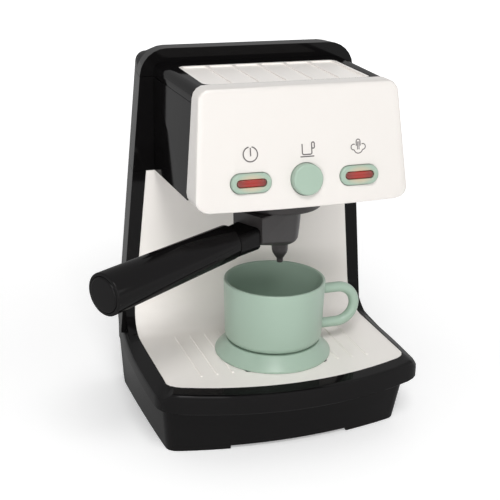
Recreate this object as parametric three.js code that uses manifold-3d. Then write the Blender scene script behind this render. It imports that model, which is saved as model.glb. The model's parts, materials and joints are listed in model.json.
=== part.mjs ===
// A toy coffee maker with a tilted front plate, three push buttons, a portafilter that turns
// into its locked place, a cup on a stand and a battery box behind a door in the back.
// Millimetres, +Z up. The front faces -Y, the back wall stands at +Y.
import * as THREE from "three";
import { mergeVertices } from "three/addons/utils/BufferGeometryUtils.js";
import Module from "manifold-3d";

const wasm = await Module();
wasm.setup();

// Walls and clearances
const wall = 2.4;
const rib = 1.6;
const gap = 0.3;
const overrun = 4;
const weld = 0.0005;

// Heights of the casing's tiers above the table
const deckZ = 49;
const lowerSeamZ = 160.5;
const upperSeamZ = 222;
const topDeckZ = 231;
const rearTopZ = 233.8;
const ridgeRearZ = 238.9;
const ridgeTopZ = 239.7;

// Column: side walls lean in towards the top and towards the back
const columnFrontY = -31;
const rearSeamY = -13.3;
const columnHalfLow = 88.9;
const columnHalfTop = 73.7;
const columnHalfRim = 88.3;
const columnHalfFloor = 85.6;
const rearDrawShare = 0.052;
const archRadius = 16;
const rearCorner = 6;
const rearShoulderY = -5.5;
const rearRadius = 3;

// Base: a skirt that leans in to the table, under an overhanging rim
const skirtRearHalfLow = 83.2;
const skirtRearHalfTop = 86;
const skirtFrontHalfLow = 79;
const skirtFrontHalfTop = 82.5;
const skirtFrontYLow = -116;
const skirtFrontYTop = -122.5;
const skirtBow = 11;
const skirtBulgeLow = 0.8;
const skirtBulgeTop = 3.2;
const skirtRadius = 6;
const footHeight = 2.4;
const footEndX = 40;
const rimLowZ = 35.8;
const rimHalf = 86.6;
const rimFrontHalf = 88.2;
const rimBulge = 2.2;
const rimFrontY = -130.8;
const rimBow = 19.7;
const rimRadius = 11;
const rimBand = 8.4;
const rimFallHeight = 4.4;
const rimFallHalf = 81;
const rimFallBackY = -36;
const rimFallFrontY = -58;
const rimEdge = 2.4;
const rimInset = 3.2;

// White panel that lines the column's front and the tray, with its raised ribs
const panelThick = 2;
const panelSink = 0.4;
const panelHalfTop = 70;
const panelHalfLow = 80.4;
const panelFrontY = -122.5;
const panelBow = 17;
const panelRadius = 8;
const coveRadius = 20;
const trayRibPitch = 10.3;
const trayRibFirst = 25.7;
const trayRibCount = 4;
const trayRibWidth = 1.1;
const trayRibRise = 0.6;
const trayRibBackY = -53.5;
const trayRibFrontY = -114.5;

// Head: side walls that widen towards the front's lower edge
const headBackHalf = 64.8;
const headFrontHalfTop = 62.8;
const headFrontHalfLow = 67;
const headLowRise = 4.8;
const coverEdge = 5.5;

// Front plate, tilted to face slightly upwards
const plateTopZ = 232.3;
const plateLowZ = 162;
const plateTopFrontY = -122.4;
const plateTilt = THREE.MathUtils.degToRad(10.6);
const plateRearTopY = -111;
const plateRearTilt = THREE.MathUtils.degToRad(4.5);
const plateHalfTop = 62.4;
const plateHalfLow = 67.8;
const plateBowTop = 1;
const plateBowLow = 3.4;
const plateTopRadius = 7;
const plateLowRadius = 8.5;
const plateEdge = 2.6;

// Cup rack: an inset white panel with shallow channels
const rackHalf = 53.2;
const rackBackY = -45.5;
const rackFrontY = -104.5;
const rackRadius = 5;
const rackThick = 2;
const rackSink = 0.3;
const channelCount = 6;
const channelDepth = 0.9;
const channelRidge = 1.5;
const rackBorder = 2.4;

// Buttons, in the front plate's own frame
const buttonZ = 178.5;
const ovalX = 33.9;
const ovalLength = 24.6;
const ovalHeight = 11.6;
const ovalRise = 2.2;
const roundRadius = 9.5;
const roundRise = 4.6;
const buttonEdge = 1.1;
const buttonClear = 0.35;
const buttonTravel = 1.5;
const flangeLip = 1.1;
const flangeThick = 1.4;
const stemRadius = 1.3;
const lensLength = 18.6;
const lensHeight = 4.8;
const lensSink = 0.5;

// Circuit board behind the buttons
const boardDepth = 12;
const boardThick = 1.6;
const boardLength = 92;
const boardLow = -4.4;
const boardHigh = 19;
const boardPostX = 19;
const boardPostRise = 11;
const switchSize = 6;
const switchHeight = 2.2;
const plungerRadius = 1.7;
const plungerHeight = 0.7;
const ledRadius = 1.5;
const ledHeight = 4.6;

// Brew group: a bayonet ring under the head
const groupY = -93.5;
const ringRadius = 26.2;
const ringLowZ = 151.6;
const ringEdge = 1.2;
const ringFlangeRadius = 28;
const ringFlangeThick = 2;
const ledgeRadius = 15.7;
const ledgeHeight = 3.4;
const lugRoomRadius = 18.6;
const lugRoomHeight = 7.6;
const ringHoleRadius = 13;
const lugCount = 3;
const lugSpan = THREE.MathUtils.degToRad(26);
const slotSpan = THREE.MathUtils.degToRad(36);
const lugThick = 3;

// Portafilter: bowl, spout and handle. Its own frame has the handle along +X. It is drawn
// level, then everything below its collar hangs a little, with the handle's end down
const handleAngle = THREE.MathUtils.degToRad(-150.6);
const hangDegrees = 2.85;
const hangZ = 150;
const bowlRadius = 13.9;
const bowlLowZ = 126;
const bowlFootRadius = 11.8;
const bowlEdge = 4.4;
const bowlSideShares = [
  [0.33, 0.27],
  [0.62, 0.56],
];
const bowlRoomRadius = 9.8;
const bowlFloor = 3;
const armHalf = 11.8;
const armEnd = 30.3;
const armLowZ = 134.6;
const spoutRadius = 5.5;
const spoutBore = 0.8;
const spoutLowZ = 111.6;
const nozzleRadius = 2.1;
const nozzleHeight = 2.8;
const nozzleEdge = 0.6;
const spoutSideShares = [
  [0.29, 0.13],
  [0.74, 0.36],
  [0.88, 0.51],
];
const handleZ = 139.7;
const neckHalf = 10.6;
const neckUp = 6.1;
const neckDown = 8.8;
const neckTopRadius = 3.4;
const neckLowRadius = 5;
const neckRounding = 1.5;
const spigotEnd = 53;
const spigotRoot = 5.9;
const gripStart = 48;
const gripStartRadius = 10.9;
const gripEnd = 147.3;
const gripEndRadius = 12.6;
const gripBore = 3.2;
const gripLip = 0.8;
const capRadius = 10.4;
const capDepth = 4;
const capRise = 0.8;
const capEdge = 1.2;
const handleScrewRadius = 1.8;
const handleScrewHead = 2.8;

// Cup and its stand on the tray
const cupY = -88.5;
const cupRimZ = 99.2;
const cupRimRadius = 33;
const cupFootRadius = 31.6;
const cupWall = 2.1;
const cupLowZ = 58;
const cupHeel = 5;
const cupHandleTube = 3.4;
const cupHandleX = 45;
const cupHandleRadius = 12.4;
const cupHandleZ = 75.6;
const standTopRadius = 30.4;
const standFootRadius = 37.9;
const standLip = 1.2;
const standWall = 1.8;
const clipRadius = 2.6;
const clipDrop = 2.2;
const clipSlotExtra = 2.4;

// Battery box and its door in the back wall
const batteryZ = 100;
const batteryLength = 44.5;
const batteryRadius = 5.2;
const batteryPitch = 11;
const capRadiusPlus = 1.9;
const capPlus = 1;
const boxLength = 47;
const boxHeight = 22.6;
const boxDepth = 11.4;
const doorLength = 58;
const doorHeight = 50;
const doorThick = 2;
const doorSink = 0.2;
const doorRadius = 3;
const doorBoss = 4.2;
const doorHeadSink = 0.4;
const contactThick = 0.6;
const contactWidth = 9;
const batteryWireX = 22.6;

// Speaker behind a grille in the back wall
const speakerZ = 190;
const speakerRadius = 20;
const speakerThick = 5.5;
const magnetRadius = 9.5;
const magnetThick = 4.5;
const grilleCount = 5;
const grillePitch = 6.4;
const grilleWidth = 2.4;

const cellY = -doorSink - doorThick - gap - boxDepth / 2;

// Bottom plate, screws and wires
const plateFloorZ = 2.8;
const plateFloorThick = 2;
const screwRadius = 1.3;
const screwHeadRadius = 2.9;
const screwHeadHeight = 1.7;
const screwLength = 12;
const crossWidth = 0.8;
const bossRadius = 4;
const baseScrewX = 56;
const baseScrewFrontY = -98;
const baseScrewBackY = -34;
const backScrewLowX = 66;
const backScrewLowZ = 26;
const backScrewHighX = 58;
const backScrewHighZ = 208;
const backScrewSink = 8;
const wireRadius = 0.8;
const wireInnerX = 28;
const wireEndRise = 9;
const wireRiseY = -23;
const wireBendY = -35;

// Colours
const finish = (color, roughness, metalness = 0) =>
  new THREE.MeshStandardMaterial({ color, roughness, metalness });
const blackGloss = finish(0x100f10, 0.16);
const whiteGloss = finish(0xf2eeea, 0.3);
const mint = finish(0xa5cdbb, 0.3);
const greySatin = finish(0x4b4849, 0.4);
const redLens = finish(0xe2431f, 0.15);
const boardGreen = finish(0x1f6a3d, 0.5);
const switchBlack = finish(0x191919, 0.5);
const steel = finish(0xb9babc, 0.3, 1);
const wireRed = finish(0xb01c1c, 0.5);
const wireBlack = finish(0x161616, 0.5);
const cellBlue = finish(0x2f5fa8, 0.4);

// Solids from three.js geometry
function solidOf(geometry) {
  const bare = geometry.clone();
  for (const name of Object.keys(bare.attributes))
    if (name !== "position") bare.deleteAttribute(name);
  const merged = mergeVertices(bare, weld);
  const place = merged.attributes.position;
  const corner = (i) => new THREE.Vector3().fromBufferAttribute(place, i);
  const faces = [];
  let volume = 0;
  for (let i = 0; i < merged.index.count; i += 3) {
    const [a, b, c] = [0, 1, 2].map((k) => merged.index.getX(i + k));
    if (a === b || b === c || c === a) continue;
    faces.push(a, b, c);
    volume += corner(a).dot(corner(b).cross(corner(c)));
  }
  if (volume < 0) faces.reverse();
  return new wasm.Manifold(
    new wasm.Mesh({ numProp: 3, vertProperties: place.array, triVerts: new Uint32Array(faces) }),
  );
}

function geometryOf(solid) {
  const mesh = solid.getMesh();
  const geometry = new THREE.BufferGeometry();
  const place = new Float32Array(mesh.numVert * 3);
  for (let i = 0; i < mesh.numVert; i++)
    place.set(mesh.vertProperties.subarray(i * mesh.numProp, i * mesh.numProp + 3), i * 3);
  geometry.setAttribute("position", new THREE.BufferAttribute(place, 3));
  geometry.setIndex(new THREE.BufferAttribute(mesh.triVerts, 1));
  geometry.computeVertexNormals();
  return geometry;
}

const join = (...solids) => solids.reduce((sum, next) => sum.add(next));
const cut = (body, ...tools) => tools.reduce((left, tool) => left.subtract(tool), body);
const meet = (...solids) => solids.reduce((common, next) => common.intersect(next));

// A skin over rings of points, all with the same count, closed by a face at each end
function loft(rings, flatten) {
  const count = rings[0].length;
  const faces = [];
  for (let k = 0; k + 1 < rings.length; k++)
    for (let i = 0; i < count; i++) {
      const a = k * count + i;
      const b = k * count + ((i + 1) % count);
      faces.push(a, b, b + count, a, b + count, a + count);
    }
  faces.push(...endFaces(rings[0].map(flatten), 0, true));
  faces.push(...endFaces(rings.at(-1).map(flatten), (rings.length - 1) * count, false));
  const geometry = new THREE.BufferGeometry().setFromPoints(rings.flat());
  return solidOf(geometry.setIndex(faces));
}

function endFaces(outline, first, reversed) {
  const faces = THREE.ShapeUtils.triangulateShape(outline, []);
  const area = (points) => THREE.ShapeUtils.area(points);
  const total = faces.reduce((sum, face) => sum + area(face.map((i) => outline[i])), 0);
  const turn = Math.sign(area(outline)) * (reversed ? -1 : 1);
  const kept = Math.sign(total) === turn;
  return faces.flatMap((face) => (kept ? face : [...face].reverse()).map((i) => i + first));
}

const seenFromAbove = (p) => new THREE.Vector2(p.x, p.y);
const seenFromFront = (p) => new THREE.Vector2(p.x, p.z);
const seenFromSide = (p) => new THREE.Vector2(p.y, p.z);

// A side profile of [y, z] corners, with its two ends at half(y, z) either side of the middle
function wedge(profile, half) {
  const end = (side) => profile.map(([y, z]) => new THREE.Vector3(side * half(y, z), y, z));
  return loft([end(-1), end(1)], seenFromSide);
}

function block(x0, x1, y0, y1, z0, z1) {
  const box = new THREE.BoxGeometry(x1 - x0, y1 - y0, z1 - z0);
  return solidOf(box.translate((x0 + x1) / 2, (y0 + y1) / 2, (z0 + z1) / 2));
}

// A profile of [radius, z] corners, turned round the upright through (x, y)
function turned(profile, sides, x = 0, y = 0) {
  const points = profile.map(([radius, z]) => new THREE.Vector2(radius, z));
  const geometry = new THREE.LatheGeometry(points, sides).rotateX(Math.PI / 2);
  return solidOf(geometry.translate(x, y, 0));
}

function pillar(radius, z0, z1, sides, x = 0, y = 0) {
  return turned([[0, z0], [radius, z0], [radius, z1], [0, z1]], sides, x, y);
}

// The same, lying along Y with its axis through (x, z)
function dowel(radius, y0, y1, sides, x, z) {
  const geometry = new THREE.CylinderGeometry(radius, radius, y1 - y0, sides);
  return solidOf(geometry.translate(x, (y0 + y1) / 2, z));
}

function roundedOutline(halfX, halfY, radius) {
  const shape = new THREE.Shape();
  shape.moveTo(-halfX + radius, -halfY);
  shape.lineTo(halfX - radius, -halfY);
  shape.absarc(halfX - radius, -halfY + radius, radius, -Math.PI / 2, 0);
  shape.absarc(halfX - radius, halfY - radius, radius, 0, Math.PI / 2);
  shape.absarc(-halfX + radius, halfY - radius, radius, Math.PI / 2, Math.PI);
  shape.absarc(-halfX + radius, -halfY + radius, radius, Math.PI, Math.PI * 1.5);
  return shape;
}

// A rounded rectangle about (x, y), standing from z0 to z1
function slab(halfX, halfY, radius, z0, z1, x = 0, y = 0, arcSteps = 3) {
  const shape = roundedOutline(halfX, halfY, radius);
  const options = { depth: z1 - z0, bevelEnabled: false, curveSegments: arcSteps };
  return solidOf(new THREE.ExtrudeGeometry(shape, options).translate(x, y, z0));
}

// The same, with its edge at z1 rounded in steps
function pillow(halfX, halfY, radius, z0, z1, edge, steps = 3, arcSteps = 3) {
  const rings = [];
  const ringAt = (inset, z) => {
    const shape = roundedOutline(halfX - inset, halfY - inset, radius - inset);
    return shape.getPoints(arcSteps).map((p) => new THREE.Vector3(p.x, p.y, z));
  };
  rings.push(ringAt(0, z0));
  for (let k = 0; k <= steps; k++) {
    const angle = (Math.PI / 2) * (k / steps);
    rings.push(ringAt(edge * (1 - Math.cos(angle)), z1 - edge * (1 - Math.sin(angle))));
  }
  return loft(rings.map(withoutRepeats), seenFromAbove);
}

function withoutRepeats(ring) {
  return ring.filter((p, i) => p.distanceTo(ring[(i + 1) % ring.length]) > weld);
}

function alongPath(points, radius, sides, steps) {
  const circle = new THREE.Shape().absarc(0, 0, radius, 0, Math.PI * 2);
  const path = new THREE.CatmullRomCurve3(points.map((p) => new THREE.Vector3(...p)));
  const options = { steps, extrudePath: path, curveSegments: sides, bevelEnabled: false };
  return solidOf(new THREE.ExtrudeGeometry(circle, options));
}

// Half the column's width, which shrinks towards the back, and upwards over the rim
function columnHalf(y, z) {
  const back = Math.max(0, (y - columnFrontY) / -columnFrontY);
  const drawn = 1 - rearDrawShare * back;
  if (z < rimLowZ) return between(columnHalfFloor, columnHalfRim, z / rimLowZ) * drawn;
  if (z < deckZ) return between(columnHalfRim, columnHalfLow, (z - rimLowZ) / (deckZ - rimLowZ)) * drawn;
  return between(columnHalfLow, columnHalfTop, (z - deckZ) / (upperSeamZ - deckZ)) * drawn;
}

// A ring round the column seen from the front, from z0 up to a top with rounded shoulders
function columnRing(y, z0, z1, inset, shoulder = archRadius) {
  const radius = shoulder - inset;
  const steps = 6;
  const right = [z0, rimLowZ, deckZ]
    .filter((z) => z >= z0)
    .map((z) => new THREE.Vector3(columnHalf(y, z) - inset, y, z));
  for (let k = 0; k <= steps; k++) {
    const angle = (Math.PI / 2) * (k / steps);
    const z = z1 - inset - radius * (1 - Math.sin(angle));
    const x = columnHalf(y, z) - inset - radius * (1 - Math.cos(angle));
    right.push(new THREE.Vector3(x, y, z));
  }
  const left = right.map((p) => new THREE.Vector3(-p.x, p.y, p.z)).reverse();
  return [...right, ...left];
}

const columnLoft = (yValues, z0, z1, inset) =>
  loft(yValues.map((y) => columnRing(y, z0, z1, inset)), seenFromFront);

// A plan ring: a back edge, sides that bulge, rounded corners and a front that bows forwards
function planRing(z, backY, frontY, backHalf, frontHalf, bulge, bow, frontRadius, inset = 0) {
  const sideSteps = bulge > 0 ? 6 : 1;
  const cornerSteps = 4;
  const bowSteps = 7;
  const back = backY - inset;
  const front = frontY + inset;
  const half = (y) => {
    const t = (backY - y) / (backY - frontY);
    return backHalf + t * (frontHalf - backHalf) + 4 * bulge * t * (1 - t) - inset;
  };
  const frontAt = (x) => front - bow * (1 - (x / frontHalf) ** 2);
  const sideEnd = front + frontRadius;
  const bowEnd = half(front) - frontRadius;
  const right = [];
  for (let k = 0; k <= sideSteps; k++) {
    const y = back + (sideEnd - back) * (k / sideSteps);
    right.push(new THREE.Vector3(half(y), y, z));
  }
  const corner = new THREE.QuadraticBezierCurve(
    new THREE.Vector2(half(sideEnd), sideEnd),
    new THREE.Vector2(half(front), frontAt(half(front))),
    new THREE.Vector2(bowEnd, frontAt(bowEnd)),
  );
  for (let k = 1; k < cornerSteps; k++) {
    const p = corner.getPoint(k / cornerSteps);
    right.push(new THREE.Vector3(p.x, p.y, z));
  }
  for (let k = 0; k < bowSteps; k++) {
    const x = bowEnd * (1 - k / bowSteps);
    right.push(new THREE.Vector3(x, frontAt(x), z));
  }
  const left = right.map((p) => new THREE.Vector3(-p.x, p.y, z)).reverse();
  return [...right, new THREE.Vector3(0, frontAt(0), z), ...left];
}

const between = (a, b, share) => a + (b - a) * share;

// The skirt's plan at a height, drawn in by an inset
function skirtRing(z, inset) {
  const share = z / rimLowZ;
  return planRing(
    z,
    rearSeamY,
    between(skirtFrontYLow, skirtFrontYTop, share),
    between(skirtRearHalfLow, skirtRearHalfTop, share),
    between(skirtFrontHalfLow, skirtFrontHalfTop, share),
    between(skirtBulgeLow, skirtBulgeTop, share),
    skirtBow,
    skirtRadius,
    inset,
  );
}

const rimRing = (z, inset) =>
  planRing(z, rearSeamY, rimFrontY, rimHalf, rimFrontHalf, rimBulge, rimBow, rimRadius, inset);

// Profile of the surface that runs down the column's front, round the cove and over the tray,
// sunk by a depth. It is listed from the top down to the front
function linerLine(topZ, frontY, sunk) {
  const steps = 8;
  const line = [[columnFrontY + sunk, topZ]];
  for (let k = 0; k <= steps; k++) {
    const angle = (Math.PI / 2) * (k / steps);
    const reach = coveRadius + sunk;
    const y = columnFrontY - coveRadius + reach * Math.cos(angle);
    const z = deckZ + coveRadius - reach * Math.sin(angle);
    line.push([y, z]);
  }
  line.push([frontY, deckZ - sunk]);
  return line;
}

// Half the white panel's width, which grows downwards
function panelHalf(z) {
  const share = (lowerSeamZ - Math.max(z, deckZ)) / (lowerSeamZ - deckZ);
  return between(panelHalfTop, panelHalfLow, share);
}

function linerSolid(topZ, sunk, thick, grow) {
  const frontY = panelFrontY - panelBow - overrun;
  const outside = linerLine(topZ, frontY, sunk);
  const inside = linerLine(topZ, frontY, sunk + thick).reverse();
  const strip = wedge([...outside, ...inside], (y, z) => panelHalf(z) + grow);
  const plan = (z) =>
    planRing(
      z,
      columnFrontY + overrun + coveRadius,
      panelFrontY - grow,
      panelHalfLow + overrun,
      panelHalfLow + grow,
      0,
      panelBow,
      panelRadius,
    );
  return meet(strip, loft([plan(0), plan(topZ + overrun)], seenFromAbove));
}

// Underside of the head, which rises towards the front
const headLowZ = (y) =>
  lowerSeamZ + gap + (headLowRise * (columnFrontY - y)) / (columnFrontY - plateRearY(plateLowZ));

// Front plate surfaces. side runs from -1 at the left edge to 1 at the right edge
function plateRearY(z) {
  return plateRearTopY - (plateTopZ - z) * Math.tan(plateRearTilt);
}

function plateFrontY(side, z) {
  const fallen = (plateTopZ - z) / (plateTopZ - plateLowZ);
  const bow = between(plateBowTop, plateBowLow, fallen) * (1 - side * side);
  return plateTopFrontY - (plateTopZ - z) * Math.tan(plateTilt) - bow;
}

const plateHalf = (z) =>
  between(plateHalfTop, plateHalfLow, (plateTopZ - z) / (plateTopZ - plateLowZ));

// One upright section of the plate at a share of its half width, drawn in by an inset
function plateSection(side, inset, rearShift) {
  const half = plateHalf(buttonZ);
  const fromEnd = (1 - Math.abs(side)) * (half - inset);
  const rounded = (radius) =>
    fromEnd < radius ? radius - Math.sqrt(radius ** 2 - (radius - fromEnd) ** 2) : 0;
  const low = plateLowZ + inset + rounded(plateLowRadius - inset);
  const high = plateTopZ - inset - rounded(plateTopRadius - inset);
  const back = rounded(plateEdge);
  const edge = Math.max(plateEdge - back, gap);
  const front = (z) => plateFrontY(side, z) + inset + back;
  const cornerShare = 1 - Math.SQRT1_2;
  const point = (y, z) => new THREE.Vector3(side * (plateHalf(z) - inset), y, z);
  return [
    point(plateRearY(low) + rearShift, low),
    point(front(low) + edge, low),
    point(front(low) + edge * cornerShare, low + edge * cornerShare),
    point(front(low + edge), low + edge),
    point(front(high - edge), high - edge),
    point(front(high) + edge * cornerShare, high - edge * cornerShare),
    point(front(high) + edge, high),
    point(plateRearY(high) + rearShift, high),
  ];
}

function plateSolid(inset, rearShift) {
  const endSteps = 4;
  const midSteps = 8;
  const endShare = plateLowRadius / plateHalf(buttonZ);
  const sides = [];
  for (let k = 0; k < endSteps; k++)
    sides.push(-1 + endShare * (1 - Math.cos((Math.PI / 2) * (k / endSteps))));
  for (let k = 0; k <= midSteps; k++) sides.push(between(-1 + endShare, 1 - endShare, k / midSteps));
  for (let k = endSteps - 1; k >= 0; k--)
    sides.push(1 - endShare * (1 - Math.cos((Math.PI / 2) * (k / endSteps))));
  return loft(sides.map((side) => plateSection(side, inset, rearShift)), seenFromSide);
}

// The plate's own frame: X across, Y up the plate, Z out of it, at the buttons' height
const plateTurn = Math.PI / 2 - plateTilt;
const plateOriginY = plateTopFrontY - (plateTopZ - buttonZ) * Math.tan(plateTilt);
const plateFrame = new THREE.Matrix4()
  .makeRotationX(plateTurn)
  .setPosition(0, plateOriginY, buttonZ);

const onPlate = (solid) => solidOf(geometryOf(solid).applyMatrix4(plateFrame));

// How far the bowed face stands out of the plate's frame at a place across it
function plateRise(x) {
  const side = x / plateHalf(buttonZ);
  return (plateOriginY - plateFrontY(side, buttonZ)) * Math.cos(plateTilt);
}

// Casing
function skirt() {
  return loft([skirtRing(0, 0), skirtRing(rimLowZ, 0), skirtRing(rimLowZ + wall, 0)], seenFromAbove);
}

function rim() {
  const bead = rimEdge * (1 - Math.SQRT1_2);
  const rings = [
    rimRing(rimLowZ, gap),
    rimRing(rimLowZ + gap, 0),
    rimRing(deckZ - rimEdge, 0),
    rimRing(deckZ - bead, bead),
    rimRing(deckZ, rimEdge),
    rimRing(deckZ, rimBand),
  ];
  return fallenSides(loft(rings, seenFromAbove));
}

function cove() {
  const line = linerLine(deckZ + coveRadius, columnFrontY - coveRadius, 0).slice(1, -1);
  const inside = columnFrontY + wall;
  const low = deckZ - wall;
  const profile = [...line, [line.at(-1)[0], low], [inside, low], [inside, line[0][1]]];
  return wedge(profile, (y, z) => {
    const t = (rearSeamY - y) / (rearSeamY - rimFrontY);
    const half = between(rimHalf, rimFrontHalf, t) + 4 * rimBulge * t * (1 - t) - rimEdge;
    return Math.min(half, columnHalf(y, z));
  });
}

// Beside the tray the rim's top slopes down outwards, in front of the column
function fallenSides(solid) {
  const share = (value, start, end) => Math.min(1, Math.max(0, (value - start) / (end - start)));
  return solid.warp((point) => {
    const outwards = share(Math.abs(point[0]), rimFallHalf, rimHalf - rimEdge);
    const forwards = share(point[1], rimFallBackY, rimFallFrontY);
    const upwards = share(point[2], rimLowZ + gap, deckZ - rimEdge);
    point[2] -= rimFallHeight * outwards * upwards * forwards * forwards * (3 - 2 * forwards);
  });
}

function lowerBody() {
  const shaft = meet(
    columnLoft([rearSeamY, columnFrontY], deckZ - wall, ridgeTopZ + archRadius, 0),
    block(-rimHalf * 2, rimHalf * 2, columnFrontY * 2, 0, 0, lowerSeamZ - gap),
  );
  const linerBack = panelSink + panelThick + gap + wall;
  const roof = deckZ - linerBack;
  const sideRoof = roof - rimFallHeight / 2;
  const middleHalf = rimFallHalf - wall;
  const deckRoom = meet(
    loft([skirtRing(-overrun, wall), skirtRing(roof, wall)], seenFromAbove),
    block(-middleHalf, middleHalf, rimFrontY - rimBow, 0, -overrun, deckZ),
  );
  const baseRoom = loft([skirtRing(-overrun, wall), skirtRing(sideRoof, wall)], seenFromAbove);
  const rimRoom = loft(
    [rimRing(rimLowZ + wall, rimInset), rimRing(sideRoof, rimInset)],
    seenFromAbove,
  );
  const shaftRoom = columnLoft(
    [rearSeamY + overrun, columnFrontY + linerBack],
    deckZ - linerBack - overrun,
    ridgeTopZ + archRadius,
    wall,
  );
  const recess = linerSolid(lowerSeamZ + overrun, -overrun, overrun + panelSink + panelThick + gap, gap);
  const outside = join(skirt(), rim(), shaft, fallenSides(cut(cove(), recess)));
  const shell = cut(outside, deckRoom, baseRoom, rimRoom, shaftRoom, recess);
  const toeLow = skirtFrontYTop - skirtBow - overrun;
  const toe = block(-footEndX, footEndX, toeLow, skirtFrontYLow + skirtRadius, -overrun, footHeight);
  const posts = baseScrewPlaces().map(([x, y]) =>
    pillar(bossRadius, plateFloorZ + plateFloorThick + gap, deckZ - linerBack + gap, 10, x, y),
  );
  const pilots = baseScrewPlaces().map(([x, y]) =>
    pillar(screwRadius + gap, 0, plateFloorZ + screwLength + overrun, 10, x, y),
  );
  const backPosts = backScrewPlaces(backScrewLowX, backScrewLowZ).map(([x, z]) =>
    dowel(bossRadius, rearSeamY - screwLength, rearSeamY - gap, 10, x, z),
  );
  const backPilots = backScrewPlaces(backScrewLowX, backScrewLowZ).map(([x, z]) =>
    dowel(screwRadius + gap, rearSeamY - screwLength + wall, overrun, 10, x, z),
  );
  return cut(join(shell, ...posts, ...backPosts), toe, ...pilots, ...backPilots);
}

const baseScrewPlaces = () =>
  [-1, 1].flatMap((side) => [
    [side * baseScrewX, baseScrewFrontY],
    [side * baseScrewX, baseScrewBackY],
  ]);

const backScrewPlaces = (x, z) => [
  [-x, z],
  [x, z],
];

function headHousing() {
  const shaft = meet(
    columnLoft([rearSeamY, columnFrontY], 0, ridgeTopZ + archRadius, 0),
    block(-rimHalf, rimHalf, columnFrontY * 2, 0, lowerSeamZ, upperSeamZ),
  );
  const shaftRoom = meet(
    columnLoft([rearSeamY + overrun, columnFrontY + wall], 0, ridgeTopZ + archRadius, wall),
    block(-rimHalf, rimHalf, columnFrontY * 2, overrun, lowerSeamZ - overrun, upperSeamZ + overrun),
  );
  const box = wedge(headProfile(0, 0, gap, columnFrontY + wall), headHalf);
  const roomBack = columnFrontY + wall + overrun;
  const room = wedge(headProfile(wall, overrun, -overrun, roomBack), (y, z) => headHalf(y, z) - wall);
  const ringHole = pillar(ringRadius + gap, lowerSeamZ - overrun, upperSeamZ - overrun, 40, 0, groupY);
  const places = backScrewPlaces(backScrewHighX, backScrewHighZ);
  const postEnd = rearSeamY - screwLength;
  const posts = places.map(([x, z]) => dowel(bossRadius, postEnd, rearSeamY - gap, 10, x, z));
  const webs = block(-rimHalf, rimHalf, postEnd, rearSeamY - gap, backScrewHighZ - rib, backScrewHighZ);
  const middle = block(-backScrewHighX, backScrewHighX, columnFrontY, 0, lowerSeamZ, upperSeamZ);
  posts.push(cut(meet(webs, shaft), middle));
  const pilots = places.map(([x, z]) =>
    dowel(screwRadius + gap, rearSeamY - screwLength, overrun, 10, x, z),
  );
  return cut(join(cut(join(shaft, box), shaftRoom, room), ...posts), ringHole, ...pilots);
}

// Side profile of the head's box, with its floor and roof moved by the given amounts
function headProfile(floorUp, roofUp, front, backY) {
  const low = (y) => headLowZ(y) + floorUp;
  const frontLowY = plateRearY(headLowZ(plateRearY(plateLowZ))) + front;
  const roof = upperSeamZ + roofUp;
  return [
    [backY, low(columnFrontY)],
    [columnFrontY, low(columnFrontY)],
    [frontLowY, low(frontLowY)],
    [plateRearY(upperSeamZ) + front, roof],
    [backY, roof],
  ];
}

function headHalf(y, z) {
  const forward = (columnFrontY - y) / (columnFrontY - plateRearY(upperSeamZ));
  const fallen = (upperSeamZ - z) / (upperSeamZ - lowerSeamZ);
  return between(headBackHalf, between(headFrontHalfTop, headFrontHalfLow, fallen), forward);
}

// Section of the top cover across its deck, with rounded shoulders
function coverRing(y, half, inset, z0, z1) {
  const steps = 4;
  const radius = coverEdge;
  const right = [new THREE.Vector3(half - inset, y, z0)];
  for (let k = 0; k <= steps; k++) {
    const angle = (Math.PI / 2) * (k / steps);
    const x = half - inset - radius * (1 - Math.cos(angle));
    right.push(new THREE.Vector3(x, y, z1 - inset - radius * (1 - Math.sin(angle))));
  }
  const left = right.map((p) => new THREE.Vector3(-p.x, p.y, p.z)).reverse();
  return [...right, ...left];
}

// The column's arched top, which falls a little towards the back
function ridgeSolid(yValues, inset) {
  const rings = yValues.map((y) => {
    const share = (y - columnFrontY) / (rearSeamY - columnFrontY);
    return columnRing(y, lowerSeamZ, between(ridgeTopZ, ridgeRearZ, share), inset);
  });
  return loft(rings, seenFromFront);
}

function topCover() {
  const low = upperSeamZ + gap;
  const front = plateRearY(topDeckZ) + gap;
  const ridge = ridgeSolid([rearSeamY, columnFrontY], 0);
  const deckRing = (y, inset, z0, z1) => coverRing(y, headHalf(y, upperSeamZ), inset, z0, z1);
  const deck = loft(
    [deckRing(columnFrontY + rib, 0, lowerSeamZ, topDeckZ), deckRing(front, 0, lowerSeamZ, topDeckZ)],
    seenFromFront,
  );
  const span = block(-rimHalf, rimHalf, front, 0, low, ridgeTopZ + overrun);
  const outer = meet(join(ridge, deck), span);
  const rackRoomZ = topDeckZ - rackSink - rackThick - gap;
  const ridgeRoom = ridgeSolid([rearSeamY + overrun, columnFrontY + wall], wall);
  const deckRoom = loft(
    [
      deckRing(columnFrontY + wall + gap, wall, lowerSeamZ, rackRoomZ),
      deckRing(front - overrun, wall, lowerSeamZ, rackRoomZ),
    ],
    seenFromFront,
  );
  const rackY = (rackBackY + rackFrontY) / 2;
  const halfY = (rackBackY - rackFrontY) / 2 + gap;
  const roofZ = topDeckZ + overrun;
  const recess = slab(rackHalf + gap, halfY, rackRadius + gap, rackRoomZ, roofZ, 0, rackY);
  return cut(outer, ridgeRoom, deckRoom, recess);
}

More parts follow.
